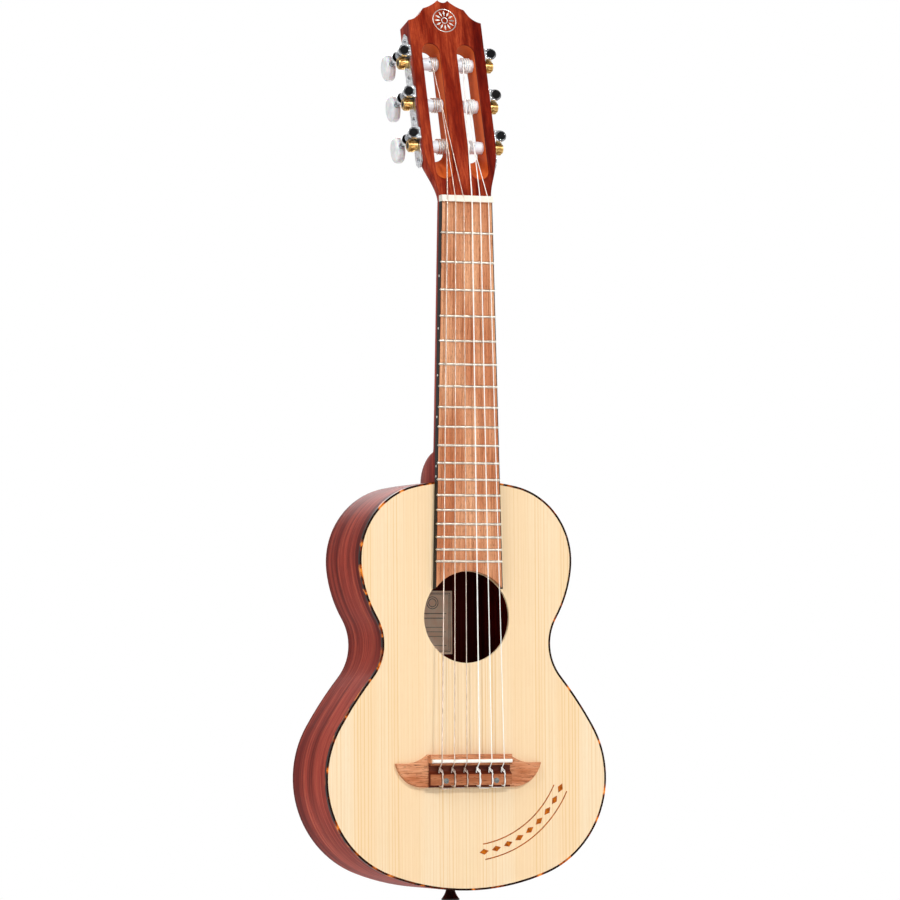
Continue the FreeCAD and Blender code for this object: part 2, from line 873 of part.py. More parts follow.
def winding_frame(number, radius):
    """Centre of the roller at the start of the winding, and the radius of the turns."""
    height = post_heights()[posts_of_strings[number]]
    return head_point(winding_starts[number], height, machine_depth), roller_radius + string_roller_gap + radius


def string_path(number):
    """Edges of one whole string, from the knot at the bridge to the end of its winding."""
    diameter = string_diameters[number]
    radius = diameter / 2
    points = tie_points(number, radius)
    top, crown_reach = saddle_corner(number, radius)
    bend = nut_corner(number, radius)
    centre, reach = winding_frame(number, radius)
    away = bend - centre
    angle = atan2(away.dot(head_up), away.dot(head_front))
    distance = sqrt(away.dot(head_up) ** 2 + away.dot(head_front) ** 2)
    start_angle = angle + acos(reach / distance)
    touch = centre + (head_front * cos(start_angle) + head_up * sin(start_angle)) * reach
    points += [top, bend, touch]
    radii = []
    for before, vertex, after in zip(points[:4], points[1:], points[2:]):
        run = min((vertex - before).Length, (after - vertex).Length)
        turn = (vertex - before).getAngle(after - vertex)
        radii.append(min(tie_bend_radius, tie_bend_share * run / tan(turn / 2)))
    radii += [crown_reach, nut_bend_radius]
    edges = rounded_run(points, radii)
    pitch = (diameter + string_turn_gap) * winding_steps[number]
    place = touch
    way = (touch - bend).normalize()
    for quarter in range(1, 4 * winding_turns + 2):
        turned = start_angle + quarter * pi / 2
        end = (centre + (head_front * cos(turned) + head_up * sin(turned)) * reach
               + Vec(pitch * quarter / 4, 0, 0))
        end_way = ((head_up * cos(turned) - head_front * sin(turned)) * (reach * 2 * pi)
                   + Vec(pitch, 0, 0)).normalize()
        edges += biarc(place, way, end, end_way)
        place = end
        way = end_way
    edges.append(line(place, place + way * string_tail))
    return edges, radii


def least_gap(edges, diameter):
    """Least gap between parts of a tube more than two diameters apart along its path."""
    samples = []
    walked = 0
    for edge in edges:
        steps = max(2, int(edge.Length / (diameter / 2)))
        for step in range(steps):
            span = edge.LastParameter - edge.FirstParameter
            place = edge.valueAt(edge.FirstParameter + span * step / steps)
            samples.append((walked + edge.Length * step / steps, place))
        walked += edge.Length
    near = [s for s in samples if s[1].z > nut_z or s[1].z < saddle_z]
    gap = scale_length
    for index, (at, place) in enumerate(near):
        for other_at, other in near[index + 1:]:
            if other_at - at > pi * diameter:
                gap = min(gap, place.distanceToPoint(other) - diameter)
    return gap


def make_strings():
    strings = []
    for number, diameter in enumerate(string_diameters):
        edges, radii = string_path(number)
        solid = tube(edges, diameter / 2)
        length = sum(edge.Length for edge in edges)
        expected = length * pi * diameter ** 2 / 4
        print("string", len(string_diameters) - number, "length", round(length, 1),
              "least gap", round(least_gap(edges, diameter), 2),
              "volume share", round(solid.Volume / expected, 4),
              "bend radii", [round(r, 2) for r in radii])
        strings.append(solid)
    return strings


# Nut, saddle and bridge

def make_nut():
    half = board_width_at_nut / 2
    top = nut_z + nut_thickness
    lean = tan(head_tilt) * nut_height
    points = [Vec(-half, 0, nut_z), Vec(-half, -nut_height, nut_z),
              Vec(-half, -nut_height + nut_back_drop, top), Vec(-half, 0, top)]
    nut = polygon_prism(points, Vec(2 * half, 0, 0))
    cuts = []
    for number, diameter in enumerate(string_diameters):
        radius = diameter / 2 + nut_slot_clearance
        vertex = nut_corner(number, diameter / 2)
        saddle_top = saddle_corner(number, diameter / 2)[0]
        centre, reach = winding_frame(number, diameter / 2)
        before = vertex + (saddle_top - vertex).normalize() * (2 * nut_bend_radius)
        target = centre + head_front * reach
        after = vertex + (target - vertex).normalize() * (2 * nut_bend_radius)
        run = rounded_run([before, vertex, after], [nut_bend_radius])
        cuts.append(tube(run, radius))
        cuts.append(tube([edge.translated(Vec(0, -radius, 0)) for edge in run], radius))
    return nut.cut(compound(cuts))


def make_saddle():
    half = saddle_length / 2
    thick = saddle_thickness / 2
    crest = -saddle_height
    low = Vec(-half, -saddle_slot_floor, saddle_z - thick)
    section = [
        line(low, Vec(-half, crest + thick, saddle_z - thick)),
        arc(Vec(-half, crest + thick, saddle_z - thick), Vec(-half, crest, saddle_z),
            Vec(-half, crest + thick, saddle_z + thick)),
        line(Vec(-half, crest + thick, saddle_z + thick), Vec(-half, -saddle_slot_floor, saddle_z + thick)),
        line(Vec(-half, -saddle_slot_floor, saddle_z + thick), low),
    ]
    return Part.Face(Part.Wire(section)).extrude(Vec(2 * half, 0, 0))


def wing_outline():
    """Treble wing of the bridge, from the block's front corner round to its rear corner."""
    block = bridge_block_width / 2
    front = saddle_z + bridge_front_to_saddle
    rear = saddle_z - bridge_back_to_saddle
    tip = (bridge_wing_span / 2, saddle_z - bridge_wing_tip_to_saddle)
    scoop = (tip[0] - bridge_wing_scoop, tip[1])
    belly = (bridge_wing_belly_width / 2, rear)
    return [
        ((block, front), sagged((block, front), scoop, -bridge_wing_scoop_sag), scoop),
        (scoop, tip),
        (tip, sagged(tip, belly, bridge_wing_belly_sag), belly),
        (belly, (0, rear)),
    ]


def make_bridge():
    front = saddle_z + bridge_front_to_saddle
    rear = saddle_z - bridge_back_to_saddle
    edges = []
    for sign in (1, -1):
        for places in wing_outline():
            points = [Vec(sign * x, 0, z) for x, z in places]
            edges.append(line(*points) if len(points) == 2 else arc(*points))
    half = bridge_block_width / 2
    edges.append(line(Vec(-half, 0, front), Vec(half, 0, front)))
    wings = Part.Face(Part.Wire(Part.__sortEdges__(edges))).extrude(Vec(0, -bridge_wing_height, 0))
    top_edges = [e for e in wings.Edges
                 if all(abs(v.Y + bridge_wing_height) < glue_clearance for v in e.Vertexes)]
    wings = wings.makeFillet(bridge_edge_round, top_edges)
    tie_front = saddle_z - groove_from_saddle - groove_width
    tie_rear = rear + tie_block_inset
    block = box((-half, -bridge_block_height, saddle_z - groove_from_saddle), (half, 0, front))
    floor = box((-half, -groove_floor, rear), (half, 0, front))
    slope_top = tie_front - tie_block_slope
    tie = polygon_prism([Vec(-half, 0, tie_rear), Vec(-half, -tie_block_height, tie_rear),
                         Vec(-half, -tie_block_height, slope_top), Vec(-half, -groove_floor, tie_front),
                         Vec(-half, 0, tie_front)], Vec(2 * half, 0, 0))
    bridge = wings.fuse([block, floor, tie])
    seat = box((-saddle_length / 2, -saddle_height, saddle_z - saddle_thickness / 2),
               (saddle_length / 2, -saddle_slot_floor, saddle_z + saddle_thickness / 2))
    cuts = [seat]
    for number in range(len(string_diameters)):
        x = string_x(number, string_spread_at_saddle)
        start = Vec(x, -tie_hole_height, tie_rear - cut_overrun)
        reach = tie_front - tie_rear + cut_overrun + groove_width
        cuts.append(Part.makeCylinder(tie_hole_radius, reach, start, Vec(0, 0, 1)))
        slot_x = x + tie_run_offset
        slot = tie_slot_width / 2
        cuts.append(box((slot_x - slot, -tie_block_height - cut_overrun, tie_rear - cut_overrun),
                        (slot_x + slot, -tie_block_height + tie_slot_depth, tie_front + groove_width / 2)))
    cuts += [dot_solid(sign, dot_thickness) for sign in (-1, 1)]
    return bridge.cut(compound(cuts)).removeSplitter()


def dot_solid(sign, thickness):
    place = Vec(sign * dot_spacing / 2, -tie_block_height + thickness, saddle_z - dot_from_saddle)
    return Part.makeCylinder(dot_radius, thickness, place, Vec(0, -1, 0))


# Tuning machines

def gear_solid():
    """Worm gear about the X axis at the origin, with its hub, shank and outer boss."""
    outer = gear_pitch_radius + gear_addendum
    root = gear_pitch_radius - gear_dedendum
    half = gear_thickness / 2
    wheel = Part.makeCylinder(outer, gear_thickness, Vec(-half, 0, 0), Vec(1, 0, 0))
    flank = tan(radians(flank_angle_deg))
    gap_width = thread_pitch * worm_thread_share + gear_backlash
    wide = gap_width / 2 + flank * (gear_addendum + gear_backlash)
    narrow = gap_width / 2 - flank * gear_dedendum
    high = outer + gear_backlash
    reach = 2 * gear_thickness
    points = [Vec(-reach, -narrow, root), Vec(-reach, narrow, root),
              Vec(-reach, wide, high), Vec(-reach, -wide, high)]
    gap = polygon_prism(points, Vec(2 * reach, 0, 0))
    lead_deg = 180 / pi * atan2(thread_pitch, 2 * pi * worm_pitch_radius)
    gap.rotate(Vec(0, 0, 0), Vec(0, 0, 1), -lead_deg)
    gaps = []
    for tooth in range(gear_teeth):
        turned = gap.copy()
        turned.rotate(Vec(0, 0, 0), Vec(1, 0, 0), 360 * tooth / gear_teeth)
        gaps.append(turned)
    wheel = wheel.cut(compound(gaps))
    hub_start = machine_offset - plate_gap - plate_thickness - roller_end_gap
    hub = Part.makeCylinder(gear_hub_radius, hub_start - half, Vec(-hub_start, 0, 0), Vec(1, 0, 0))
    shank_start = machine_offset + gear_shank_length + roller_end_gap
    shank = Part.makeCylinder(gear_shank_radius, shank_start, Vec(-shank_start, 0, 0), Vec(1, 0, 0))
    boss = Part.makeCylinder(gear_boss_radius, gear_boss_height, Vec(half, 0, 0), Vec(1, 0, 0))
    face = half + gear_boss_height
    recess = Part.makeCylinder(gear_screw_radius, gear_screw_depth, Vec(face, 0, 0), Vec(-1, 0, 0))
    return wheel.fuse([hub, shank, boss]).cut(recess).removeSplitter()


def roller_solid():
    """Roller about the X axis, at the place of a treble machine, with its string hole."""
    inner_wall = slot_spacing / 2 - slot_width / 2
    inner = inner_wall + roller_end_gap
    outer = head_half_width - roller_end_gap
    body = Part.makeCylinder(roller_radius, outer - inner, Vec(inner, 0, 0), Vec(1, 0, 0))
    journal = Part.makeCylinder(roller_journal_radius, roller_journal_length + roller_end_gap,
                                Vec(inner_wall - roller_journal_length, 0, 0), Vec(1, 0, 0))
    hole = Part.makeCylinder(string_hole_radius, 2 * roller_radius + 2 * cut_overrun,
                             Vec(slot_spacing / 2, 0, -roller_radius - cut_overrun), Vec(0, 0, 1))
    socket = Part.makeCylinder(gear_shank_radius, gear_shank_length,
                               Vec(outer - gear_shank_length, 0, 0), Vec(1, 0, 0))
    return body.fuse(journal).cut(hole).cut(socket)


def thread_solid(length):
    """Right-hand thread about the Z axis, centred on the origin."""
    root = worm_pitch_radius - worm_dedendum
    crest = worm_pitch_radius + worm_addendum
    flank = tan(radians(flank_angle_deg))
    base = thread_pitch * worm_thread_share / 2
    sunk = root - worm_dedendum / 2
    foot = base + flank * (worm_pitch_radius - sunk)
    tip = base - flank * worm_addendum
    points = [Vec(sunk, 0, -foot), Vec(crest, 0, -tip), Vec(crest, 0, tip), Vec(sunk, 0, foot)]
    profile = Part.Wire([line(a, b) for a, b in zip(points, points[1:] + points[:1])])
    helix = Part.makeHelix(thread_pitch, length, worm_pitch_radius)
    thread = Part.Wire(helix.Edges).makePipeShell([profile], True, True)
    thread.translate(Vec(0, 0, -length / 2))
    thread.rotate(Vec(0, 0, 0), Vec(0, 0, 1), -90)
    return thread


def worm_solid():
    """Worm with its shaft about the Z axis, Z to the front of the head, centred on the gear."""
    half_gap = lug_spacing / 2 - lug_thickness / 2
    root = worm_pitch_radius - worm_dedendum
    worm_half = half_gap - 2 * roller_end_gap
    core = Part.makeCylinder(root, 2 * worm_half, Vec(0, 0, -worm_half), Vec(0, 0, 1))
    length = 2 * worm_half - 2 * thread_pitch
    length = thread_pitch * int(length / thread_pitch)
    thread = thread_solid(length)
    front_end = lug_spacing / 2 + lug_thickness / 2 - bushing_cap_thickness
    rear_end = machine_depth - button_depth - button_socket
    shaft = Part.makeCylinder(shaft_radius, front_end - rear_end, Vec(0, 0, rear_end), Vec(0, 0, 1))
    lug_back = -lug_spacing / 2 - lug_thickness / 2 - bushing_flange_thickness
    collar = Part.makeCylinder(collar_radius, collar_length,
                               Vec(0, 0, lug_back - roller_end_gap - collar_length), Vec(0, 0, 1))
    ferrule = Part.makeCylinder(ferrule_radius, ferrule_length,
                                Vec(0, 0, machine_depth - button_depth), Vec(0, 0, 1))
    worm = core.fuse([thread, shaft, collar, ferrule])
    worm.translate(Vec(0, worm_above_post, 0))
    return worm


def button_solid():
    """Flat oval button about the Z axis, below the ferrule, with the socket for the shaft."""
    high = machine_depth - button_depth
    middle = high - button_length / 2
    half = button_width / 2
    rise = button_length / 2
    small = button_end_radius
    large = (half ** 2 + rise ** 2 - 2 * half * small) / (2 * (rise - small))
    reach = atan2(large - rise, half - small)
    side = half - small + small * cos(reach)
    top = small * sin(reach)
    face = -button_thickness / 2

    def place(y, z):
        return Vec(face, y, middle + z)

    edges = [
        arc(place(side, -top), place(half, 0), place(side, top)),
        arc(place(side, top), place(0, rise), place(-side, top)),
        arc(place(-side, top), place(-half, 0), place(-side, -top)),
        arc(place(-side, -top), place(0, -rise), place(side, -top)),
    ]
    blank = Part.Face(Part.Wire(edges)).extrude(Vec(button_thickness, 0, 0))
    button = blank.makeFillet(button_round, blank.Edges)
    socket = Part.makeCylinder(shaft_radius, button_socket + cut_overrun,
                               Vec(0, 0, high - button_socket), Vec(0, 0, 1))
    button = button.cut(socket)
    button.translate(Vec(0, worm_above_post, 0))
    return button


def place_machine(shape, side, height, x):
    """Move a shape drawn at the origin, Z to the front and Y up the head, to a post height."""
    moved = shape.copy()
    if side < 0:
        moved = mirrored(moved)
    frame = FreeCAD.Matrix(
        1, 0, 0, 0,
        0, head_up.y, head_front.y, 0,
        0, head_up.z, head_front.z, 0,
        0, 0, 0, 1)
    moved.transformShape(frame)
    moved.translate(head_point(side * x, height, machine_depth))
    return moved


def plate_blank(side):
    """Side plate with a waist between machines and a point at each end."""
    inner = side * (head_half_width + plate_gap)

    def place(height, off):
        return head_point(inner, height, machine_depth + off)

    stations = [(plate_low_end, plate_tip_half_width), (plate_low_end + plate_end_taper, plate_waist_half_width)]
    for height in post_heights():
        low = height + worm_above_post - lug_radius
        high = height + worm_above_post + lug_radius
        stations.append((low - plate_shoulder, plate_waist_half_width))
        stations.append((low, plate_half_width))
        stations.append((high, plate_half_width))
        stations.append((high + plate_shoulder, plate_waist_half_width))
    stations.append((plate_high_end - plate_end_taper, plate_waist_half_width))
    stations.append((plate_high_end, plate_tip_half_width))
    edges = []
    for (s0, w0), (s1, w1) in zip(stations, stations[1:]):
        edges.append(line(place(s0, w0), place(s1, w1)))
    edges.append(line(place(*stations[-1]), place(stations[-1][0], -stations[-1][1])))
    for (s0, w0), (s1, w1) in zip(stations[::-1], stations[-2::-1]):
        edges.append(line(place(s0, -w0), place(s1, -w1)))
    edges.append(line(place(stations[0][0], -stations[0][1]), place(*stations[0])))
    return Part.Face(Part.Wire(edges)).extrude(Vec(side * plate_thickness, 0, 0))


def lug_places():
    """Depth of the middle of the front and rear lug."""
    return [machine_depth - lug_spacing / 2, machine_depth + lug_spacing / 2]


def lug_solid(side, height, depth):
    """One lug: a tongue standing on the plate with a round eye for the bushing."""
    inner = head_half_width + plate_gap + plate_thickness / 2
    axis_height = height + worm_above_post
    front = depth - lug_thickness / 2
    eye = Part.makeCylinder(lug_radius, lug_thickness, head_point(side * machine_x, axis_height, front), -head_front)
    corners = [head_point(side * inner, axis_height - lug_radius, front),
               head_point(side * machine_x, axis_height - lug_radius, front),
               head_point(side * machine_x, axis_height + lug_radius, front),
               head_point(side * inner, axis_height + lug_radius, front)]
    return eye.fuse(polygon_prism(corners, -head_front * lug_thickness))


def lug_hole(side, height, depth):
    axis_height = height + worm_above_post
    start = head_point(side * machine_x, axis_height, depth - lug_thickness / 2 - cut_overrun / 2)
    return Part.makeCylinder(bushing_radius, lug_thickness + cut_overrun, start, -head_front)


def make_plate(side):
    plate = plate_blank(side)
    cuts = []
    for height in post_heights():
        for depth in lug_places():
            plate = plate.fuse(lug_solid(side, height, depth))
            cuts.append(lug_hole(side, height, depth))
        start = head_point(side * head_half_width, height, machine_depth)
        cuts.append(Part.makeCylinder(gear_shank_radius + shaft_clearance, 2 * plate_thickness, start, Vec(side, 0, 0)))
    for height in plate_screw_heights:
        start = head_point(side * head_half_width, height, machine_depth)
        cuts.append(Part.makeCylinder(screw_shank_radius, 2 * plate_thickness, start, Vec(side, 0, 0)))
    return plate.cut(compound(cuts)).removeSplitter()


def make_bushings():
    """Bushings of all the lugs: closed in front, open behind, each with a flange."""
    bushings = []
    for side in (-1, 1):
        for height in post_heights():
            for number, depth in enumerate(lug_places()):
                axis_height = height + worm_above_post
                front = depth - lug_thickness / 2
                way = 1 - 2 * number
                body = Part.makeCylinder(bushing_radius, lug_thickness,
                                         head_point(side * machine_x, axis_height, front), -head_front)
                face = front if number == 0 else front + lug_thickness
                flange = Part.makeCylinder(bushing_flange_radius, bushing_flange_thickness,
                                           head_point(side * machine_x, axis_height, face), head_front * way)
                start = front + bushing_cap_thickness - shaft_clearance if number == 0 else front - cut_overrun / 2
                bore = Part.makeCylinder(shaft_radius + shaft_clearance, lug_thickness + cut_overrun,
                                         head_point(side * machine_x, axis_height, start), -head_front)
                bushings.append(body.fuse(flange).cut(bore).removeSplitter())
    return compound(bushings)


def screw_places(side):
    return [(head_point(side * head_half_width, height, machine_depth), Vec(side, 0, 0))
            for height in plate_screw_heights]


def plate_screw_bores():
    bores = []
    for side in (-1, 1):
        for place, way in screw_places(side):
            bores.append(Part.makeCylinder(screw_shank_radius, screw_shank_length + plate_gap, place, -way))
    return bores


def make_plate_screws():
    """Round-headed screws that hold the side plates, each with a slot across its head."""
    screws = []
    for side in (-1, 1):
        for place, way in screw_places(side):
            seat = plate_gap + plate_thickness
            rise = screw_head_height
            ball = (screw_head_radius ** 2 + rise ** 2) / (2 * rise)
            dome = Part.makeSphere(ball, place + way * (seat + rise - ball))
            head = dome.common(Part.makeCylinder(screw_head_radius, rise, place + way * seat, way))
            shank = Part.makeCylinder(screw_shank_radius, screw_shank_length + seat + rise / 2,
                                      place - way * screw_shank_length, way)
            half = screw_slot_width / 2
            top = place + way * (seat + rise)
            slot = box((-screw_slot_depth, -screw_head_radius, -half), (screw_slot_depth, screw_head_radius, half))
            slot.translate(top)
            screws.append(head.fuse(shank).cut(slot).removeSplitter())
    return compound(screws)


# Strap button

def make_strap_button():
    """Flared button under the tail, with a countersunk hole for its screw."""
    axis_y = body_depth / 2
    top = body_bottom_z
    flange = top - button_flare_length
    end = flange - button_cap_length
    rim = button_flange_radius
    edges = [
        line(Vec(0, axis_y, top), Vec(button_neck_radius, axis_y, top)),
        arc(Vec(button_neck_radius, axis_y, top),
            Vec((button_neck_radius + rim) / 2 - button_cap_length / 4, axis_y, (top + flange) / 2),
            Vec(rim, axis_y, flange)),
        arc(Vec(rim, axis_y, flange), Vec(rim - button_cap_length / 8, axis_y, flange - button_cap_length / 2),
            Vec(strap_screw_head_radius + button_cap_length / 2, axis_y, end)),
        line(Vec(strap_screw_head_radius + button_cap_length / 2, axis_y, end), Vec(0, axis_y, end)),
        line(Vec(0, axis_y, end), Vec(0, axis_y, top)),
    ]
    blank = Part.Face(Part.Wire(edges)).revolve(Vec(0, axis_y, 0), Vec(0, 0, 1), 360)
    return blank.cut(strap_screw_blank())


def strap_screw_blank():
    axis_y = body_depth / 2
    end = body_bottom_z - button_flare_length - button_cap_length
    head = Part.makeCone(strap_screw_head_radius, strap_screw_radius, strap_screw_head_depth,
                         Vec(0, axis_y, end), Vec(0, 0, 1))
    shank = Part.makeCylinder(strap_screw_radius, strap_screw_length, Vec(0, axis_y, end), Vec(0, 0, 1))
    return head.fuse(shank).removeSplitter()


def make_strap_screw():
    end = body_bottom_z - button_flare_length - button_cap_length
    half = screw_slot_width
    cross = []
    for wide, deep in ((strap_screw_radius, half / 2), (half / 2, strap_screw_radius)):
        cross.append(box((-wide, body_depth / 2 - deep, end - cut_overrun),
                         (wide, body_depth / 2 + deep, end + strap_screw_head_depth / 2)))
    return strap_screw_blank().cut(compound(cross))


def main():
    os.makedirs("parts", exist_ok=True)
    binding = make_binding()
    save("binding", binding)
    save("soundboard", make_soundboard())
    save("back_plate", make_back())
    bass_rib, treble_rib = make_ribs(binding)
    screw_hole = Part.makeCylinder(strap_screw_radius, strap_screw_length,
                                   Vec(0, body_depth / 2, body_bottom_z - cut_overrun), Vec(0, 0, 1))
    save("bass_rib", bass_rib.cut(screw_hole))
    save("treble_rib", treble_rib.cut(screw_hole))
    head_block, tail_block = make_blocks()
    save("head_block", head_block)
    save("tail_block", tail_block)
    top_lining, back_lining = make_linings((head_block, tail_block))
    save("top_lining", top_lining)
    save("back_lining", back_lining)
    bridge_plate = make_bridge_plate()
    save("bridge_plate", bridge_plate)
    save("top_braces", make_top_braces(bridge_plate))
    save("back_braces", make_back_braces())
    save("label", make_label())
    blank = board_blank()
    dots = make_side_dots(blank)
    save("side_dots", dots)
    save("fretboard", make_fretboard(blank, dots))
    save("frets", compound([make_fret(number) for number in range(1, fret_count + 1)]))
    save("neck", make_neck())
    save("head_veneer", make_veneer())
    save("nut", make_nut())
    save("saddle", make_saddle())
    save("bridge", make_bridge())
    save("bridge_dots", compound([dot_solid(sign, dot_thickness) for sign in (-1, 1)]))
    for number, solid in enumerate(make_strings()):
        save("string_" + str(len(string_diameters) - number), solid)
    save("bass_tuner_plate", make_plate(-1))
    save("treble_tuner_plate", make_plate(1))
    save("lug_bushings", make_bushings())
    save("plate_screws", make_plate_screws())
    machine_parts = [("gear", gear_solid(), machine_x), ("roller", roller_solid(), 0),
                     ("worm", worm_solid(), machine_x), ("button", button_solid(), machine_x)]
    for number, post in enumerate(posts_of_strings):
        side = -1 if number < posts_per_side else 1
        for name, shape, x in machine_parts:
            node = "tuner_" + str(len(string_diameters) - number) + "_" + name
            save(node, place_machine(shape, side, post_heights()[post], x))
    save("strap_button", make_strap_button())
    save("strap_button_screw", make_strap_screw())


main()
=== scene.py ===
"""Looks of a guitalele with a spruce top, mahogany body and slotted head."""

from math import acos, asin, atan2, cos, pi, radians, sin, sqrt, tan

import bmesh
import bpy
from mathutils import Matrix, Vector


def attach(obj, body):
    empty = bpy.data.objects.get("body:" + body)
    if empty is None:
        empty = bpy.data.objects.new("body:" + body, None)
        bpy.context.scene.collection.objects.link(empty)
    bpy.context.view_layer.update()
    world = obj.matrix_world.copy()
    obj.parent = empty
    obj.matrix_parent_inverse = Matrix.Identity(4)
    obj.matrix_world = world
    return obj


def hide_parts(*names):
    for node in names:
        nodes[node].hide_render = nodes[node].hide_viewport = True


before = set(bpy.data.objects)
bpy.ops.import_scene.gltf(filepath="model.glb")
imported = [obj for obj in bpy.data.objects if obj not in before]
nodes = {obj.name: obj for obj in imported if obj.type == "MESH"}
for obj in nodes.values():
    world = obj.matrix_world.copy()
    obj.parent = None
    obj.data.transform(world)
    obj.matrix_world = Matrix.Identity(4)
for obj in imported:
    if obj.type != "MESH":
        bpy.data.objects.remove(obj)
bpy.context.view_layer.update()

mm = 0.001
machine_count = 6


# Camera: it stands low on the bass side and looks a little up

image_size = 900
camera_eye = Vector((-1455.0, -3604.0, -403.0)) * mm
camera_yaw = 0.380556
camera_pitch = -0.049861
camera_roll = -0.005737
focal_pixels = 5003.6
sensor_width = 36.0


def make_camera():
    """Camera with the lens, place and turn of the picture that the object is matched to."""
    data = bpy.data.cameras.new("camera")
    data.sensor_width = sensor_width
    data.lens = focal_pixels / image_size * sensor_width
    camera = bpy.data.objects.new("camera", data)
    turn = (Matrix.Rotation(-pi / 2, 4, "X") @ Matrix.Rotation(camera_roll, 4, "Y")
            @ Matrix.Rotation(camera_pitch, 4, "X") @ Matrix.Rotation(camera_yaw, 4, "Z"))
    camera.matrix_world = Matrix.Translation(camera_eye) @ turn.transposed()
    bpy.context.scene.collection.objects.link(camera)
    bpy.context.scene.camera = camera


make_camera()


# Sizes of the object that patterns and added pieces follow, in mm

nut_z = -16.0
nut_thickness = 5.0
scale_length = 433.0
saddle_compensation = 1.5
saddle_z = nut_z - scale_length - saddle_compensation
body_depth = 75.0
back_thickness = 2.5
head_tilt = radians(16.5)
head_face_rise = 3.0
head_depth = 19.0
head_up = Vector((0, sin(head_tilt), cos(head_tilt)))
head_front = Vector((0, -cos(head_tilt), sin(head_tilt)))
head_start = Vector((0, -head_face_rise, nut_z + nut_thickness))
slot_middle = 14.7
slot_half_width = 7.7
slot_front_start = 13.0
slot_back_start = 36.0
slot_end = 129.0
board_half_at_nut = 21.3
board_widening = 4.95
board_half_slope = board_widening / (scale_length / 2)
well_half_width = 33.9
well_start = -1.4
well_top = 7.6


def head_point(x, height, depth):
    """Point of the head: across, up from its start and back from its face."""
    return head_start + Vector((x, 0, 0)) + head_up * height - head_front * depth


# Shader helpers

def linear(hex_text):
    """Linear colour of an sRGB hex value."""
    shares = [int(hex_text[at:at + 2], 16) / 255 for at in (1, 3, 5)]
    return [s / 12.92 if s <= 0.04045 else ((s + 0.055) / 1.055) ** 2.4 for s in shares] + [1.0]


def add(tree, kind, inputs=None, stops=(), **settings):
    """Adds a node with its settings, its inputs and the stops of its ramp.

    An input is a value, an output, or a node, which gives the first output that it uses.
    """
    node = tree.nodes.new(kind)
    for name, value in settings.items():
        setattr(node, name, value)
    for key, value in (inputs or {}).items():
        if isinstance(value, bpy.types.Node):
            value = next(output for output in value.outputs if output.enabled)
        if isinstance(value, bpy.types.NodeSocket):
            tree.links.new(value, node.inputs[key])
        else:
            node.inputs[key].default_value = value
    while stops and len(node.color_ramp.elements) < len(stops):
        node.color_ramp.elements.new(1.0)
    for index, (position, shade) in enumerate(stops):
        node.color_ramp.elements[index].position = position
        node.color_ramp.elements[index].color = linear(shade)
    return node


def new_finish(name, inputs):
    """Material with one Principled shader; returns it, its tree and the shader."""
    material = bpy.data.materials.new(name)
    material.use_nodes = True
    tree = material.node_tree
    tree.nodes.clear()
    surface = add(tree, "ShaderNodeBsdfPrincipled", inputs)
    add(tree, "ShaderNodeOutputMaterial", {"Surface": surface})
    return material, tree, surface


def distance_along(tree, direction):
    """How far along a direction from the origin a point of the surface lies, in metres."""
    place = add(tree, "ShaderNodeTexCoord").outputs["Object"]
    return add(tree, "ShaderNodeVectorMath", {0: place, 1: direction}, operation="DOT_PRODUCT")


def spots(tree, sizes_mm, detail=2.0, rough=0.5, twist=0.0, book=False):
    """Noise with spots of the given sizes along X, Y and Z, mirrored in a book of two boards."""
    place = add(tree, "ShaderNodeTexCoord").outputs["Object"]
    if book:
        place = add(tree, "ShaderNodeVectorMath", {0: place}, operation="ABSOLUTE")
    mapped = add(tree, "ShaderNodeMapping", {
        "Vector": place, "Scale": [1 / (size * mm) for size in sizes_mm]})
    return add(tree, "ShaderNodeTexNoise", {
        "Vector": mapped, "Scale": 1.0, "Detail": detail, "Roughness": rough,
        "Distortion": twist})


def stain(tree, surface, mask, tone, blend_type="MIX"):
    """Carries a surface's colour to a tone where the mask is 1, or multiplies it by the tone."""
    base = surface.inputs["Base Color"]
    shade = add(tree, "ShaderNodeMix", {0: mask, 6: base.links[0].from_socket, 7: tone},
                data_type="RGBA", blend_type=blend_type)
    tree.links.new(shade.outputs[2], base)


# Woods

# Most values of a Noise texture lie between these two
noise_low = 0.35
noise_high = 0.65

# The picture has 1.3 pixels to the millimetre, so pores are drawn about twice as wide as they
# are, or they would not show; a pore starts at the rim value of its noise
pore_rim = 0.56
pore_floor = 0.68

# A Wave texture with a Scale of 1 repeats after this length
wave_length = pi / 10

# Year lines of the top, in mm: their distance, and the run over which they drift
year_line = 2.8
year_drift = 400.0

# Where the oil covers the cuts of the slots, and how much of the stain it hides
oil_margin = 0.5
oil_share = 0.8

# Other places where a wood changes its tone, in mm; inside the back, on the veneer and in the
# bridge's well these mark painted shade and light
back_middle = body_depth - back_thickness / 2
back_shade_until = 40.0
back_light_from = 66.0
veneer_shade_start = 12.0
veneer_full_shade_from = 24.0
well_margin = 0.1
lacquer_overlap = 0.7


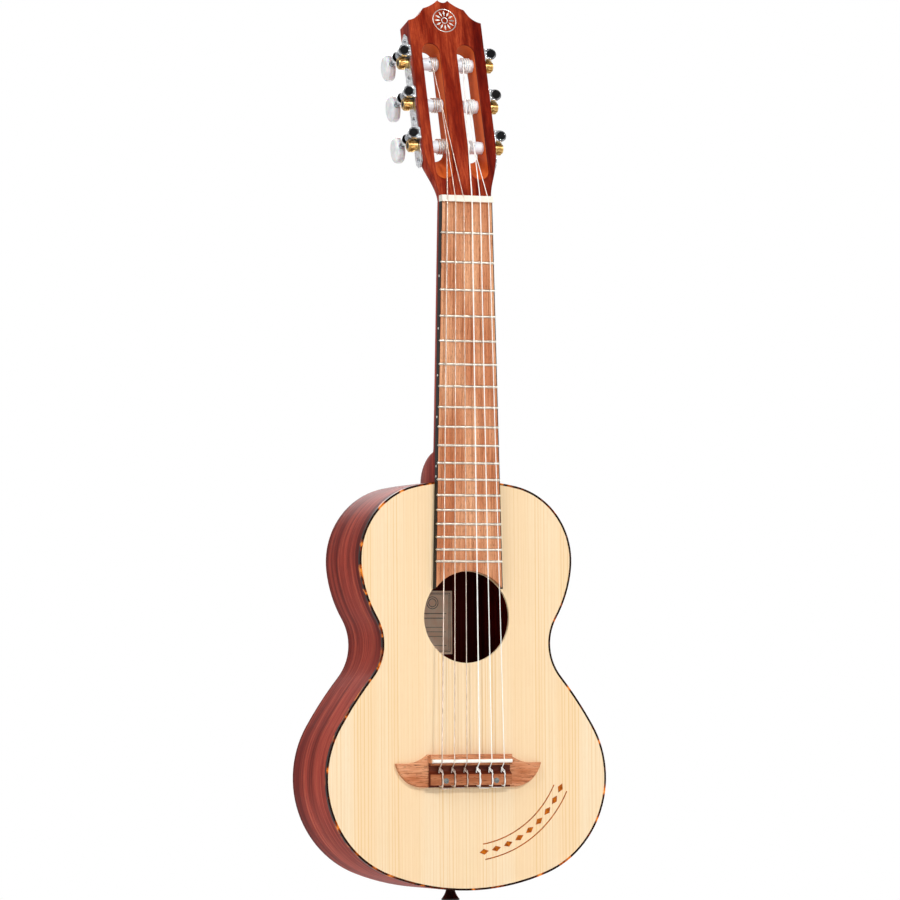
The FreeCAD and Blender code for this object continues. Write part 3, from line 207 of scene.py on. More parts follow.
def wood(name, tones, line_mm, pore_mm, pore_shade, pore_share, slow_mm, slow_shade,
         roughness, gloss=0.5, book=False, twist=0.0, bump_mm=0.05):
    """Wood with growth lines, sunk pores and slow changes of tone."""
    material, tree, surface = new_finish(name, {
        "Roughness": roughness, "IOR": 1.5, "Specular IOR Level": gloss})
    lines = spots(tree, line_mm, detail=3.0, rough=0.6, twist=twist, book=book)
    shade = add(tree, "ShaderNodeValToRGB", {"Fac": lines}, stops=tones)
    tree.links.new(shade.outputs[0], surface.inputs["Base Color"])
    slow = add(tree, "ShaderNodeMapRange", {
        "Value": spots(tree, slow_mm, detail=1.0, book=book),
        "From Min": noise_low, "From Max": noise_high})
    stain(tree, surface, slow, linear(slow_shade), "MULTIPLY")
    pores = add(tree, "ShaderNodeMapRange", {
        "Value": spots(tree, pore_mm, rough=0.7, book=book),
        "From Min": pore_rim, "From Max": pore_floor, "To Max": pore_share})
    stain(tree, surface, pores, linear(pore_shade))
    bump = add(tree, "ShaderNodeBump", {
        "Height": pores, "Distance": bump_mm * mm, "Strength": 0.5}, invert=True)
    tree.links.new(bump.outputs[0], surface.inputs["Normal"])
    return material, tree, surface


def spruce_top():
    """Quarter-sawn spruce under thin satin lacquer: pale, with straight year lines.

    The real lines are about 1 mm apart, too fine to show, so they are drawn wider apart.
    """
    material, tree, surface = wood(
        "satin_lacquered_spruce", tones=[(0.3, "#EAD3AB"), (0.5, "#EFD9B8"), (0.7, "#F1DFC3")],
        line_mm=(0.55, 30.0, 120.0), pore_mm=(0.4, 0.5, 12.0), pore_shade="#E6BF8C",
        pore_share=0.35, slow_mm=(26.0, 60.0, 900.0), slow_shade="#FFF6EA",
        roughness=0.5, gloss=0.2, book=True, bump_mm=0.015)
    place = add(tree, "ShaderNodeTexCoord").outputs["Object"]
    halves = add(tree, "ShaderNodeVectorMath", {0: place}, operation="ABSOLUTE")
    mapped = add(tree, "ShaderNodeMapping", {
        "Vector": halves, "Scale": (1 / (year_line * mm), 0.0, 1 / (year_drift * mm))})
    years = add(tree, "ShaderNodeTexWave", {
        "Vector": mapped, "Scale": wave_length, "Distortion": 9.0, "Detail": 4.0,
        "Detail Scale": 0.4, "Detail Roughness": 0.7}).outputs["Fac"]
    late_wood = add(tree, "ShaderNodeMapRange", {
        "Value": years, "From Min": 0.72, "From Max": 0.98})
    strength = add(tree, "ShaderNodeMapRange", {
        "Value": spots(tree, (7.0, 60.0, 900.0), book=True),
        "From Min": 0.4, "From Max": 0.62, "To Min": 0.2})
    mask = add(tree, "ShaderNodeMath", {0: late_wood, 1: strength}, operation="MULTIPLY")
    stain(tree, surface, mask, linear("#E6C18D"))
    return material


def raw_spruce():
    """Planed spruce without lacquer, as braces are left: dull and honey yellow."""
    return wood("planed_raw_spruce", tones=[(0.35, "#C99A5C"), (0.65, "#E3BE86")],
                line_mm=(1.2, 1.2, 200.0), pore_mm=(0.4, 0.4, 9.0), pore_shade="#A97840",
                pore_share=0.4, slow_mm=(14.0, 14.0, 300.0), slow_shade="#F2DFC4",
                roughness=0.75, bump_mm=0.03)[0]


def mahogany(name, line_mm, pore_mm, slow_mm, slow_shade="#C89A90"):
    """Mahogany stained red-brown; thin satin lacquer lets its open pores show."""
    return wood(name, tones=[(0.32, "#822A1E"), (0.5, "#B04232"), (0.68, "#CE6248")],
                line_mm=line_mm, pore_mm=pore_mm, pore_shade="#561A12", pore_share=0.7,
                slow_mm=slow_mm, slow_shade=slow_shade, roughness=0.45, gloss=0.04,
                twist=0.3, bump_mm=0.04)


def rib_mahogany():
    """The ribs' mahogany: its lines follow the bend, so they change only across the depth."""
    return mahogany("stained_mahogany_ribs", line_mm=(110.0, 4.0, 110.0),
                    pore_mm=(16.0, 0.9, 16.0), slow_mm=(150.0, 14.0, 150.0),
                    slow_shade="#AC7268")[0]


def raw_mahogany():
    """Unstained wood inside the box, dull and brown."""
    return wood("raw_mahogany_inside", tones=[(0.3, "#6A3A22"), (0.7, "#8E5736")],
                line_mm=(30.0, 2.0, 30.0), pore_mm=(8.0, 0.35, 8.0), pore_shade="#3C1D10",
                pore_share=0.6, slow_mm=(90.0, 20.0, 90.0), slow_shade="#C9B4A2",
                roughness=0.8, gloss=0.2, bump_mm=0.04)[0]


def two_faced_back():
    """The back's mahogany, stained outside and left bare on the face inside the box.

    The bare face is dark with painted shade, and redder towards the treble side with painted
    light, where light falls on it.
    """
    material, tree, surface = mahogany(
        "stained_mahogany_back", line_mm=(2.4, 3.0, 150.0), pore_mm=(0.45, 0.5, 10.0),
        slow_mm=(24.0, 30.0, 260.0))
    # Painted shade on the face inside the box, turning to painted light towards the treble side
    inside = add(tree, "ShaderNodeMath", {
        0: distance_along(tree, (0, 1, 0)), 1: back_middle * mm}, operation="LESS_THAN")
    treble = add(tree, "ShaderNodeMapRange", {
        "Value": distance_along(tree, (1, 0, 0)),
        "From Min": back_shade_until * mm, "From Max": back_light_from * mm})
    tone = add(tree, "ShaderNodeValToRGB", {"Fac": treble},
               stops=[(0.0, "#66443A"), (1.0, "#F09A80")])
    stain(tree, surface, inside, tone, "MULTIPLY")
    return material


def neck_mahogany():
    """The neck's mahogany, bright orange where the slots are cut and only oiled.

    The oiled part is a slot with the ramp at its nut end, a margin wider than the cut.
    """
    material, tree, surface = mahogany(
        "stained_mahogany_neck", line_mm=(2.2, 3.0, 120.0), pore_mm=(0.45, 0.5, 9.0),
        slow_mm=(14.0, 16.0, 160.0))
    across = add(tree, "ShaderNodeMath", {0: distance_along(tree, (1, 0, 0))},
                 operation="ABSOLUTE")
    aside = add(tree, "ShaderNodeMath", {0: across, 1: slot_middle * mm}, operation="SUBTRACT")
    aside = add(tree, "ShaderNodeMath", {0: aside}, operation="ABSOLUTE")
    height = add(tree, "ShaderNodeMath", {
        0: distance_along(tree, head_up), 1: head_start.dot(head_up) * mm}, operation="SUBTRACT")
    depth = add(tree, "ShaderNodeMath", {
        0: head_start.dot(head_front) * mm, 1: distance_along(tree, head_front)},
        operation="SUBTRACT")
    run_per_depth = (slot_back_start - slot_front_start) / head_depth
    ramp = add(tree, "ShaderNodeMapRange", {
        "Value": height, "From Min": slot_front_start * mm,
        "From Max": (slot_back_start - 2 * oil_margin * run_per_depth) * mm,
        "To Min": oil_margin * mm, "To Max": (head_depth - oil_margin) * mm})
    mask = oil_share
    for value, limit in ((aside, (slot_half_width + oil_margin) * mm),
                         (height, (slot_end + oil_margin) * mm), (depth, ramp)):
        within = add(tree, "ShaderNodeMath", {0: value, 1: limit}, operation="LESS_THAN")
        mask = add(tree, "ShaderNodeMath", {0: mask, 1: within}, operation="MULTIPLY")
    stain(tree, surface, mask, linear("#DE6A2C"))
    return material


def veneer():
    """Redder slice of mahogany glued to the head's face, with painted shade towards the treble
    side.
    """
    material, tree, surface = wood(
        "stained_mahogany_veneer", tones=[(0.3, "#8A2C18"), (0.5, "#A63E21"), (0.7, "#BE522B")],
        line_mm=(1.3, 3.0, 130.0), pore_mm=(0.4, 0.5, 8.0), pore_shade="#5C1A0C",
        pore_share=0.6, slow_mm=(7.0, 14.0, 110.0), slow_shade="#B88070",
        roughness=0.4, gloss=0.03, twist=0.3, bump_mm=0.03)
    # Painted shade: the face darkens towards the treble side
    treble = add(tree, "ShaderNodeMapRange", {
        "Value": distance_along(tree, (1, 0, 0)),
        "From Min": veneer_shade_start * mm, "From Max": veneer_full_shade_from * mm})
    stain(tree, surface, treble, linear("#B87E74"), "MULTIPLY")
    return material


def walnut(name, line_mm, pore_mm, slow_mm, twist):
    """Oiled walnut: warm mid brown with dark open pores and a dull sheen."""
    return wood(name, tones=[(0.28, "#B5734A"), (0.5, "#DA9C72"), (0.7, "#ECB68E")],
                line_mm=line_mm, pore_mm=pore_mm, pore_shade="#683B24", pore_share=0.9,
                slow_mm=slow_mm, slow_shade="#DDBBA6", roughness=0.55, gloss=0.2,
                twist=twist, bump_mm=0.05)


def bridge_walnut():
    """The bridge's walnut, with painted shade in the routed well behind the saddle."""
    material, tree, surface = walnut(
        "oiled_walnut_bridge", line_mm=(26.0, 3.0, 1.5), pore_mm=(7.0, 0.8, 0.7),
        slow_mm=(40.0, 9.0, 8.0), twist=1.6)
    across = add(tree, "ShaderNodeMath", {0: distance_along(tree, (1, 0, 0))},
                 operation="ABSOLUTE")
    mask = 1.0
    # Painted shade: the block behind the saddle is darkened, and the well's floor below its top
    # more
    for value, operation, limit, tone in (
            (across, "LESS_THAN", well_half_width + well_margin, None),
            (distance_along(tree, (0, 0, 1)), "LESS_THAN", saddle_z + well_start, "#CEB6A4"),
            (distance_along(tree, (0, 1, 0)), "GREATER_THAN", -well_top, "#9C7668")):
        within = add(tree, "ShaderNodeMath", {0: value, 1: limit * mm}, operation=operation)
        mask = add(tree, "ShaderNodeMath", {0: mask, 1: within}, operation="MULTIPLY")
        if tone:
            stain(tree, surface, mask, linear(tone), "MULTIPLY")
    return material


def board_walnut():
    """Fretboard walnut with black lacquer on its edges, a little over the corner."""
    material, tree, surface = walnut(
        "oiled_walnut_fretboard", line_mm=(0.9, 3.0, 45.0), pore_mm=(0.35, 0.5, 5.0),
        slow_mm=(13.0, 9.0, 70.0), twist=0.8)
    across = add(tree, "ShaderNodeMath", {0: distance_along(tree, (1, 0, 0))},
                 operation="ABSOLUTE")
    width = add(tree, "ShaderNodeMath", {
        0: across, 1: distance_along(tree, (0, 0, board_half_slope))}, operation="ADD")
    edge = board_half_at_nut + nut_z * board_half_slope - lacquer_overlap
    mask = add(tree, "ShaderNodeMath", {0: width, 1: edge * mm}, operation="GREATER_THAN")
    stain(tree, surface, mask, linear("#15110F"))
    return material


# Other finishes

scroll_width = 2.2
fine_share = 0.3


def patched(name, first, second, patch_mm, roughness, inputs=None, stretch=1.0, bump_mm=0.01):
    """Moulded or worked surface: two near tones in soft patches and a fine unevenness."""
    material, tree, surface = new_finish(name, {"Roughness": roughness, **(inputs or {})})
    sizes = (patch_mm, patch_mm, patch_mm * stretch)
    shade = add(tree, "ShaderNodeValToRGB", {"Fac": spots(tree, sizes, detail=3.0)},
                stops=[(noise_low, first), (noise_high, second)])
    bump = add(tree, "ShaderNodeBump", {
        "Height": spots(tree, [size * fine_share for size in sizes]),
        "Distance": bump_mm * mm, "Strength": 0.4})
    tree.links.new(shade.outputs[0], surface.inputs["Base Color"])
    tree.links.new(bump.outputs[0], surface.inputs["Normal"])
    return material


def tortoise():
    """Tortoise celluloid: near black with amber clouds, glossy."""
    material, tree, surface = new_finish("polished_tortoise_celluloid", {
        "Roughness": 0.3, "IOR": 1.5, "Specular IOR Level": 0.06})
    clouds = spots(tree, (13.0, 9.0, 13.0), detail=3.0, rough=0.55, twist=0.6)
    shade = add(tree, "ShaderNodeValToRGB", {"Fac": clouds}, stops=[
        (0.0, "#140906"), (0.51, "#220E08"), (0.57, "#7A2E0C"), (0.62, "#D9731C"),
        (0.70, "#F09A3C")])
    tree.links.new(shade.outputs[0], surface.inputs["Base Color"])
    return material


def engraved_chrome():
    """Chromed side plate: bright, with shallow engraved scrolls that catch dark lines.

    Real scrolls are finer; these are drawn as coarse as they need to show.
    """
    material, tree, surface = new_finish("engraved_chrome_plate", {
        "Metallic": 1.0, "Roughness": 0.16})
    place = add(tree, "ShaderNodeTexCoord").outputs["Object"]
    scrolls = add(tree, "ShaderNodeTexVoronoi", {
        "Vector": place, "Scale": 1 / (scroll_width * mm)}, feature="DISTANCE_TO_EDGE")
    groove = add(tree, "ShaderNodeMapRange", {
        "Value": scrolls, "From Min": 0.02, "From Max": 0.12})
    shade = add(tree, "ShaderNodeValToRGB", {"Fac": groove},
                stops=[(0.0, "#9C9EA2"), (1.0, "#DFE0E3")])
    bump = add(tree, "ShaderNodeBump", {"Height": groove, "Distance": 0.12 * mm, "Strength": 0.7})
    tree.links.new(shade.outputs[0], surface.inputs["Base Color"])
    tree.links.new(bump.outputs[0], surface.inputs["Normal"])
    return material


# Turned steel, bright, with soft patches in what it mirrors
steel = patched("bright_steel", "#B4B6BA", "#94969A", 2.0, 0.25, {"Metallic": 1.0})

# Steel with a black oxide skin: the gears' screws show dark against the brass
dark_steel = patched("blackened_steel", "#2E2822", "#443C32", 1.0, 0.4, {"Metallic": 1.0})

# Filed and polished fret wire, a little warmer than steel
nickel_silver = patched("polished_nickel_silver", "#D6CFC3", "#C2BAAD", 3.0, 0.3, {
    "Metallic": 1.0}, bump_mm=0.001)

# Turned brass, yellow, with browner patches where it has tarnished
brass = patched("turned_brass", "#DAB878", "#A98048", 1.6, 0.3, {"Metallic": 1.0})

# Silver-plated copper wire, pale with a warm cast; its patches run along the string
winding = patched("silver_plated_winding", "#ECDDD1", "#C8B3A3", 1.5, 0.35, {
    "Metallic": 1.0}, stretch=4.0)

# Nylon: nearly white, with a soft shine
nylon = patched("extruded_clear_nylon", "#FFFDF8", "#F6F3EC", 4.0, 0.25, {"IOR": 1.53})

# Polished ivory plastic lets some light in, which softens its edges; the nut is creamier
nut_ivory = patched("polished_ivory_nut", "#EEE7DA", "#E6DDCD", 3.0, 0.3, {
    "IOR": 1.5, "Subsurface Weight": 0.1, "Subsurface Scale": 0.002})
saddle_ivory = patched("polished_ivory_saddle", "#FCF8EF", "#F6F0E4", 3.0, 0.3, {
    "IOR": 1.5, "Subsurface Weight": 0.1, "Subsurface Scale": 0.002})

# Mother of pearl, grey here, with a clear skin over changing tones
grey_pearl = patched("polished_grey_mother_of_pearl", "#7E827C", "#4A4E4E", 1.6, 0.25, {
    "IOR": 1.53, "Coat Weight": 0.3})

# Pearloid: milky, deep and glossy
button_pearl = patched("polished_white_pearloid", "#FBFBFB", "#E8EAEC", 5.0, 0.2, {
    "IOR": 1.5, "Coat Weight": 0.3, "Subsurface Weight": 0.3, "Subsurface Scale": 0.004})

# White plastics: the rollers cool and satin, the dots warm
roller_white = patched("moulded_white_plastic", "#F0F6FC", "#E8EFF6", 3.0, 0.3, {"IOR": 1.49})
dot_white = patched("moulded_dot_plastic", "#F6F4EE", "#EAE6DC", 1.0, 0.35)

# Black plastics: the bushings dull, the strap button polished, so that it mirrors the lamps
dull_black = patched("moulded_black_plastic", "#0A0A0B", "#141415", 2.0, 0.3, {
    "IOR": 1.5, "Specular IOR Level": 0.05})
polished_black = patched("polished_black_plastic", "#0A0A0B", "#141415", 2.0, 0.15, {"IOR": 1.5})

# The label's card, warm and matt, and its brown ink
card = patched("printed_card", "#FFE0C6", "#FAD0B2", 6.0, 0.8)
ink = patched("brown_printing_ink", "#5E5348", "#6E6154", 1.0, 0.7)

# Spruce burnt with a hot iron, orange to dark brown, dull and rough
burnt_spruce = patched("burnt_spruce", "#C4660F", "#7E380A", 2.5, 0.7, {
    "Specular IOR Level": 0.1}, bump_mm=0.03)

# Inlay of silver, warm and half dulled
silver = patched("polished_silver_inlay", "#E8E2DA", "#C9C2B8", 2.0, 0.25, {"Metallic": 0.6})


def give(material, *names):
    """Replaces the materials of CAD nodes by one finish."""
    for name in names:
        mesh = nodes[name].data
        mesh.materials.clear()
        mesh.materials.append(material)


give(spruce_top(), "soundboard")
give(raw_spruce(), "top_braces", "back_braces", "bridge_plate")
give(rib_mahogany(), "bass_rib", "treble_rib")
give(two_faced_back(), "back_plate")
give(neck_mahogany(), "neck")
give(raw_mahogany(), "head_block", "tail_block", "top_lining", "back_lining")
give(veneer(), "head_veneer")
give(board_walnut(), "fretboard")
give(bridge_walnut(), "bridge")
give(tortoise(), "binding")
give(engraved_chrome(), "bass_tuner_plate", "treble_tuner_plate")
give(steel, "plate_screws", "strap_button_screw")
give(nickel_silver, "frets")
give(nut_ivory, "nut")
give(saddle_ivory, "saddle")
give(grey_pearl, "bridge_dots")
give(dot_white, "side_dots")
give(dull_black, "lug_bushings")
give(polished_black, "strap_button")
give(card, "label")
for number in range(1, machine_count + 1):
    give(brass, "tuner_%d_gear" % number)
    give(steel, "tuner_%d_worm" % number)
    give(roller_white, "tuner_%d_roller" % number)
    give(button_pearl, "tuner_%d_button" % number)


# Pieces made by node trees

def new_tree(name, sizes):
    """Geometry tree with named inputs; sizes gives each its kind of socket."""
    tree = bpy.data.node_groups.new(name, "GeometryNodeTree")
    tree.interface.new_socket("Geometry", in_out="OUTPUT", socket_type="NodeSocketGeometry")
    tree.interface.new_socket("Geometry", in_out="INPUT", socket_type="NodeSocketGeometry")
    for size, kind in sizes.items():
        tree.interface.new_socket(size, in_out="INPUT", socket_type="NodeSocket" + kind)
    return tree, add(tree, "NodeGroupInput").outputs


def end_tree(tree, geometry, material):
    """Ends a tree with plain meshes and a material."""
    plain = add(tree, "GeometryNodeRealizeInstances", {"Geometry": geometry})
    finish = add(tree, "GeometryNodeSetMaterial", {"Geometry": plain, "Material": material})
    add(tree, "NodeGroupOutput", {"Geometry": finish})


def grown(name, tree, values, base, place=None):
    """Runs a tree on an object's data and keeps the result as a plain mesh."""
    holder = bpy.data.objects.new(name + "_base", base)
    bpy.context.scene.collection.objects.link(holder)
    modifier = holder.modifiers.new("tree", "NODES")
    modifier.node_group = tree
    for item in tree.interface.items_tree:
        if item.in_out == "INPUT" and item.name in values:
            modifier[item.identifier] = values[item.name]
    graph = bpy.context.evaluated_depsgraph_get()
    mesh = bpy.data.meshes.new_from_object(holder.evaluated_get(graph))
    bpy.data.objects.remove(holder)
    if place is not None:
        mesh.transform(place)
    mesh.name = name
    piece = bpy.data.objects.new(name, mesh)
    bpy.context.scene.collection.objects.link(piece)
    return piece


# Strings: they follow the route of the solids; the bass three show the ridges of their winding

string_diameters = (1.10, 0.90, 0.76, 1.02, 0.82, 0.71)
wound_count = 3
spread_at_nut = 34.4
spread_at_saddle = 52.0
string_above_nut_edge = 0.1
nut_top = 8.3
nut_bend_z = nut_z + 1.6
nut_bend_radius = 9.0
saddle_top = 11.4
saddle_radius = 1.4
crown_gap = 0.03
ledge_z = saddle_z - 7.6
tie_rear_z = saddle_z - 18.6
tie_top = 7.4
tie_hole_height = 5.3
tie_run_offset = 1.9
tie_run_gap = 0.12
tie_end_drop = 2.4
tie_bend_radius = 1.6
tie_bend_share = 0.45
tie_twists = 9
roller_reach = 5.2
roller_depth = 10.0
post_heights = (45.0, 80.0, 115.0)
posts_of_strings = (0, 1, 2, 2, 1, 0)
winding_starts = (-8.8, -9.6, -13.4, 13.2, 14.2, 13.3)
winding_steps = (-1, -1, 1, 1, 1, -1)
winding_turns = 3.25
turn_gap = 0.95
string_tail = 5.0
arc_step = radians(7.5)
wound_sides = 8
nylon_sides = 10

# Real winding wire is about 0.2 mm thick; it is drawn coarser, so that it shows
ridge_pitch = 0.5
ridge_depth_share = 0.09


def string_x(index, spread):
    """Place of a string across the instrument, counted from the bass side."""
    return spread * (index / (machine_count - 1) - 0.5)


def rounded(points, radii):
    """Points of a path whose inner corners are arcs of the given radii."""
    path = [points[0]]
    for before, vertex, after, radius in zip(points, points[1:], points[2:], radii):
        back = (before - vertex).normalized()
        ahead = (after - vertex).normalized()
        half = back.angle(ahead) / 2
        centre = vertex + (back + ahead).normalized() * (radius / sin(half))
        start = vertex + back * (radius / tan(half)) - centre
        end = vertex + ahead * (radius / tan(half)) - centre
        turn = start.angle(end)
        steps = max(2, int(turn / arc_step))
        for step in range(steps + 1):
            share = step / steps
            spoke = (start * sin(turn * (1 - share)) + end * sin(turn * share)) / sin(turn)
            path.append(centre + spoke)
    return path + [points[-1]]


def saddle_corner(index, radius):
    """Where the two runs over the round saddle crest would meet, and the radius of their arc."""
    reach = saddle_radius + radius + crown_gap
    crest = Vector((0, -saddle_top + saddle_radius, saddle_z))
    rise = atan2(crest.y - reach + nut_top - string_above_nut_edge + radius, nut_z - saddle_z)
    drop = atan2(saddle_top + radius - tie_hole_height, saddle_z - ledge_z)
    front = Vector((0, -cos(rise), -sin(rise)))
    rear = Vector((0, -cos(drop), -sin(drop)))
    place = crest + (front + rear) * (reach / (1 + front.dot(rear)))
    return Vector((string_x(index, spread_at_saddle), place.y, place.z)), reach


def tie_corners(index, radius):
    """Corners of the run over the tie block, from its end in front to the hole's mouth."""
    x = string_x(index, spread_at_saddle)
    run_x = x + tie_run_offset
    front = ledge_z + radius + tie_run_gap
    rear = tie_rear_z - radius - tie_run_gap
    top_y = -(tie_top + radius + tie_run_gap)
    return [Vector((run_x, top_y + tie_end_drop, front)), Vector((run_x, top_y, front)),
            Vector((run_x, top_y, rear)), Vector((x, -tie_hole_height, rear)),
            Vector((x, -tie_hole_height, front))]


def string_route(index):
    """Points of one whole string, from the bridge to the end of its winding."""
    diameter = string_diameters[index]
    radius = diameter / 2
    points = tie_corners(index, radius)
    top, crown_reach = saddle_corner(index, radius)
    bend = Vector((string_x(index, spread_at_nut), radius - nut_top, nut_bend_z))
    post = post_heights[posts_of_strings[index]]
    centre = head_point(winding_starts[index], post, roller_depth)
    reach = roller_reach + radius
    away = bend - centre
    distance = sqrt(away.dot(head_up) ** 2 + away.dot(head_front) ** 2)
    start = atan2(away.dot(head_up), away.dot(head_front)) + acos(reach / distance)
    touch = centre + (head_front * cos(start) + head_up * sin(start)) * reach
    points += [top, bend, touch]
    radii = []
    for before, vertex, after in zip(points[:4], points[1:], points[2:]):
        run = min((vertex - before).length, (after - vertex).length)
        turn = (vertex - before).angle(after - vertex)
        radii.append(min(tie_bend_radius, tie_bend_share * run / tan(turn / 2)))
    route = rounded(points, radii + [crown_reach, nut_bend_radius])
    pitch = (diameter + turn_gap) * winding_steps[index]
    steps = int(winding_turns * 2 * pi / arc_step)
    for step in range(1, steps + 1):
        share = step / steps * winding_turns
        turned = start + share * 2 * pi
        route.append(centre + (head_front * cos(turned) + head_up * sin(turned)) * reach
                     + Vector((pitch * share, 0, 0)))
    route.append(route[-1] + (route[-1] - route[-2]).normalized() * string_tail)
    return route


def tie_wrap(index):
    """Points of the tucked end: an eye round the string, a twist on the block, a tail behind it.

    The eye and the tail are listed point by point. A tail is tucked under the next string's run,
    but the third and the last from the bass side end free.
    """
    diameter = string_diameters[index]
    radius = diameter / 2
    corners = tie_corners(index, radius)
    x = corners[4].x
    run_x = corners[1].x
    end_y = corners[0].y
    top_y = corners[1].y
    front = corners[0].z
    rear = corners[2].z
    points = [corners[0], Vector((x + 1.3, end_y, front + 1.2)),
              Vector((x - 0.2, end_y - 0.9, front + 2.2)), Vector((x - 0.9, top_y, front + 1.6)),
              Vector((x - 0.3, top_y - 0.9 * diameter, front - 0.4)),
              Vector((x + 1.0, top_y - 1.0 * diameter, front - 1.4))]
    for step in range(1, tie_twists + 1):
        share = step / (tie_twists + 1)
        swing = cos(share * 3 * pi)
        points.append(Vector((run_x + swing * 0.35 * diameter,
                              top_y - (1.05 - 0.35 * abs(swing)) * diameter,
                              front - 1.6 + (rear - front + 2.0) * share)))
    low_y = -radius - 0.4
    tail_z = rear - 1.7 * diameter
    last = string_x(index + 1, spread_at_saddle) + tie_run_offset
    if index in (2, 5):
        last = x + 4.0
    return points + [Vector((run_x + 0.4, top_y + 1.2, rear - 1.1 * diameter)),
                     Vector((run_x + 1.6, low_y, tail_z)), Vector((run_x + 3.4, low_y, tail_z)),
                     Vector((last, low_y, tail_z))]


def spline(curve, points, kind):
    """Adds an open spline through or near points in mm."""
    line = curve.splines.new(kind)
    line.points.add(len(points) - 1)
    for at, point in zip(line.points, points):
        at.co = [*(point * mm), 1.0]
    if kind == "NURBS":
        line.order_u = 3
        line.use_endpoint_u = True
        line.resolution_u = 8


def string_tree():
    """Tube along a curve, with ridges a pitch apart where the depth isn't zero."""
    tree, given = new_tree("ridged_string", {
        "Radius": "Float", "Ridge Depth": "Float", "Ridge Pitch": "Float", "Spacing": "Float",
        "Sides": "Int", "Material": "Material"})
    even = add(tree, "GeometryNodeResampleCurve", {
        "Curve": given["Geometry"], "Length": given["Spacing"]}, mode="LENGTH")
    height = add(tree, "GeometryNodeSplineParameter").outputs["Length"]
    for operation, operand in (("DIVIDE", given["Ridge Pitch"]), ("MULTIPLY", pi), ("SINE", 0.0),
                               ("ABSOLUTE", 0.0), ("MULTIPLY", given["Ridge Depth"])):
        height = add(tree, "ShaderNodeMath", {0: height, 1: operand}, operation=operation)
    core = add(tree, "ShaderNodeMath", {0: given["Radius"], 1: given["Ridge Depth"]},
               operation="SUBTRACT")
    thick = add(tree, "GeometryNodeSetCurveRadius", {
        "Curve": even, "Radius": add(tree, "ShaderNodeMath", {0: core, 1: height},
                                     operation="ADD")})
    ring = add(tree, "GeometryNodeCurvePrimitiveCircle", {
        "Resolution": given["Sides"], "Radius": 1.0})
    tube = add(tree, "GeometryNodeCurveToMesh", {
        "Curve": thick, "Profile Curve": ring, "Scale": add(tree, "GeometryNodeInputRadius"),
        "Fill Caps": True})
    smooth = add(tree, "GeometryNodeSetShadeSmooth", {"Geometry": tube})
    end_tree(tree, smooth, given["Material"])
    return tree


def make_strings():
    """Each string is one mesh, from its tie at the bridge to its turns on the roller."""
    tree = string_tree()
    for index, diameter in enumerate(string_diameters):
        number = machine_count - index
        wound = index < wound_count
        curve = bpy.data.curves.new("string_%d_route" % number, "CURVE")
        curve.dimensions = "3D"
        spline(curve, string_route(index), "POLY")
        spline(curve, tie_wrap(index), "NURBS")
        piece = grown("string_%d_wire" % number, tree, {
            "Radius": diameter / 2 * mm, "Ridge Pitch": ridge_pitch * mm,
            "Ridge Depth": diameter * ridge_depth_share * mm if wound else 0.0,
            "Spacing": (ridge_pitch / 4 if wound else ridge_pitch) * mm,
            "Sides": wound_sides if wound else nylon_sides,
            "Material": winding if wound else nylon}, curve)
        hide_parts("string_%d" % number)
        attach(piece, "instrument")


make_strings()


# Ornaments: two rings or arcs with a row of lozenges between them

arc_points = 96
ornament_thickness = 0.1
band_middle_z = -436.0
inlay_height = 149.0


def band_tree():
    """Two flat lines along arcs, and lozenges along the arc midway between them."""
    tree, given = new_tree("lozenge_band", {
        "Inner Radius": "Float", "Outer Radius": "Float", "Start": "Float", "Sweep": "Float",
        "Lozenges": "Int", "Length": "Float", "Width": "Float", "Line": "Float",
        "Thickness": "Float", "Material": "Material"})
    middle = add(tree, "ShaderNodeMix", {
        0: 0.5, 2: given["Inner Radius"], 3: given["Outer Radius"]})
    arcs = []
    for radius in (given["Inner Radius"], given["Outer Radius"], middle):
        arcs.append(add(tree, "GeometryNodeCurveArc", {
            "Resolution": arc_points, "Radius": radius, "Start Angle": given["Start"],
            "Sweep Angle": given["Sweep"]}))
    inner, outer, row = arcs
    flat = add(tree, "GeometryNodeCurvePrimitiveQuadrilateral", {
        "Width": given["Line"], "Height": given["Thickness"]})
    joined = add(tree, "GeometryNodeJoinGeometry")
    for arc in (inner, outer):
        line = add(tree, "GeometryNodeCurveToMesh", {
            "Curve": arc, "Profile Curve": flat, "Fill Caps": True})
        tree.links.new(line.outputs[0], joined.inputs[0])
    places = add(tree, "GeometryNodeCurveToPoints", {
        "Curve": row, "Count": given["Lozenges"]}, mode="COUNT")
    lozenge = add(tree, "GeometryNodeMeshCylinder", {"Vertices": 4, "Radius": 0.5, "Depth": 1.0})
    size = add(tree, "ShaderNodeCombineXYZ", {
        0: given["Length"], 1: given["Width"], 2: given["Thickness"]})
    turn = add(tree, "FunctionNodeAlignEulerToVector", {
        "Vector": places.outputs["Tangent"]}, axis="X", pivot_axis="Z")
    lozenges = add(tree, "GeometryNodeInstanceOnPoints", {
        "Points": places, "Instance": lozenge, "Rotation": turn, "Scale": size})
    tree.links.new(lozenges.outputs[0], joined.inputs[0])
    end_tree(tree, joined, given["Material"])
    return tree


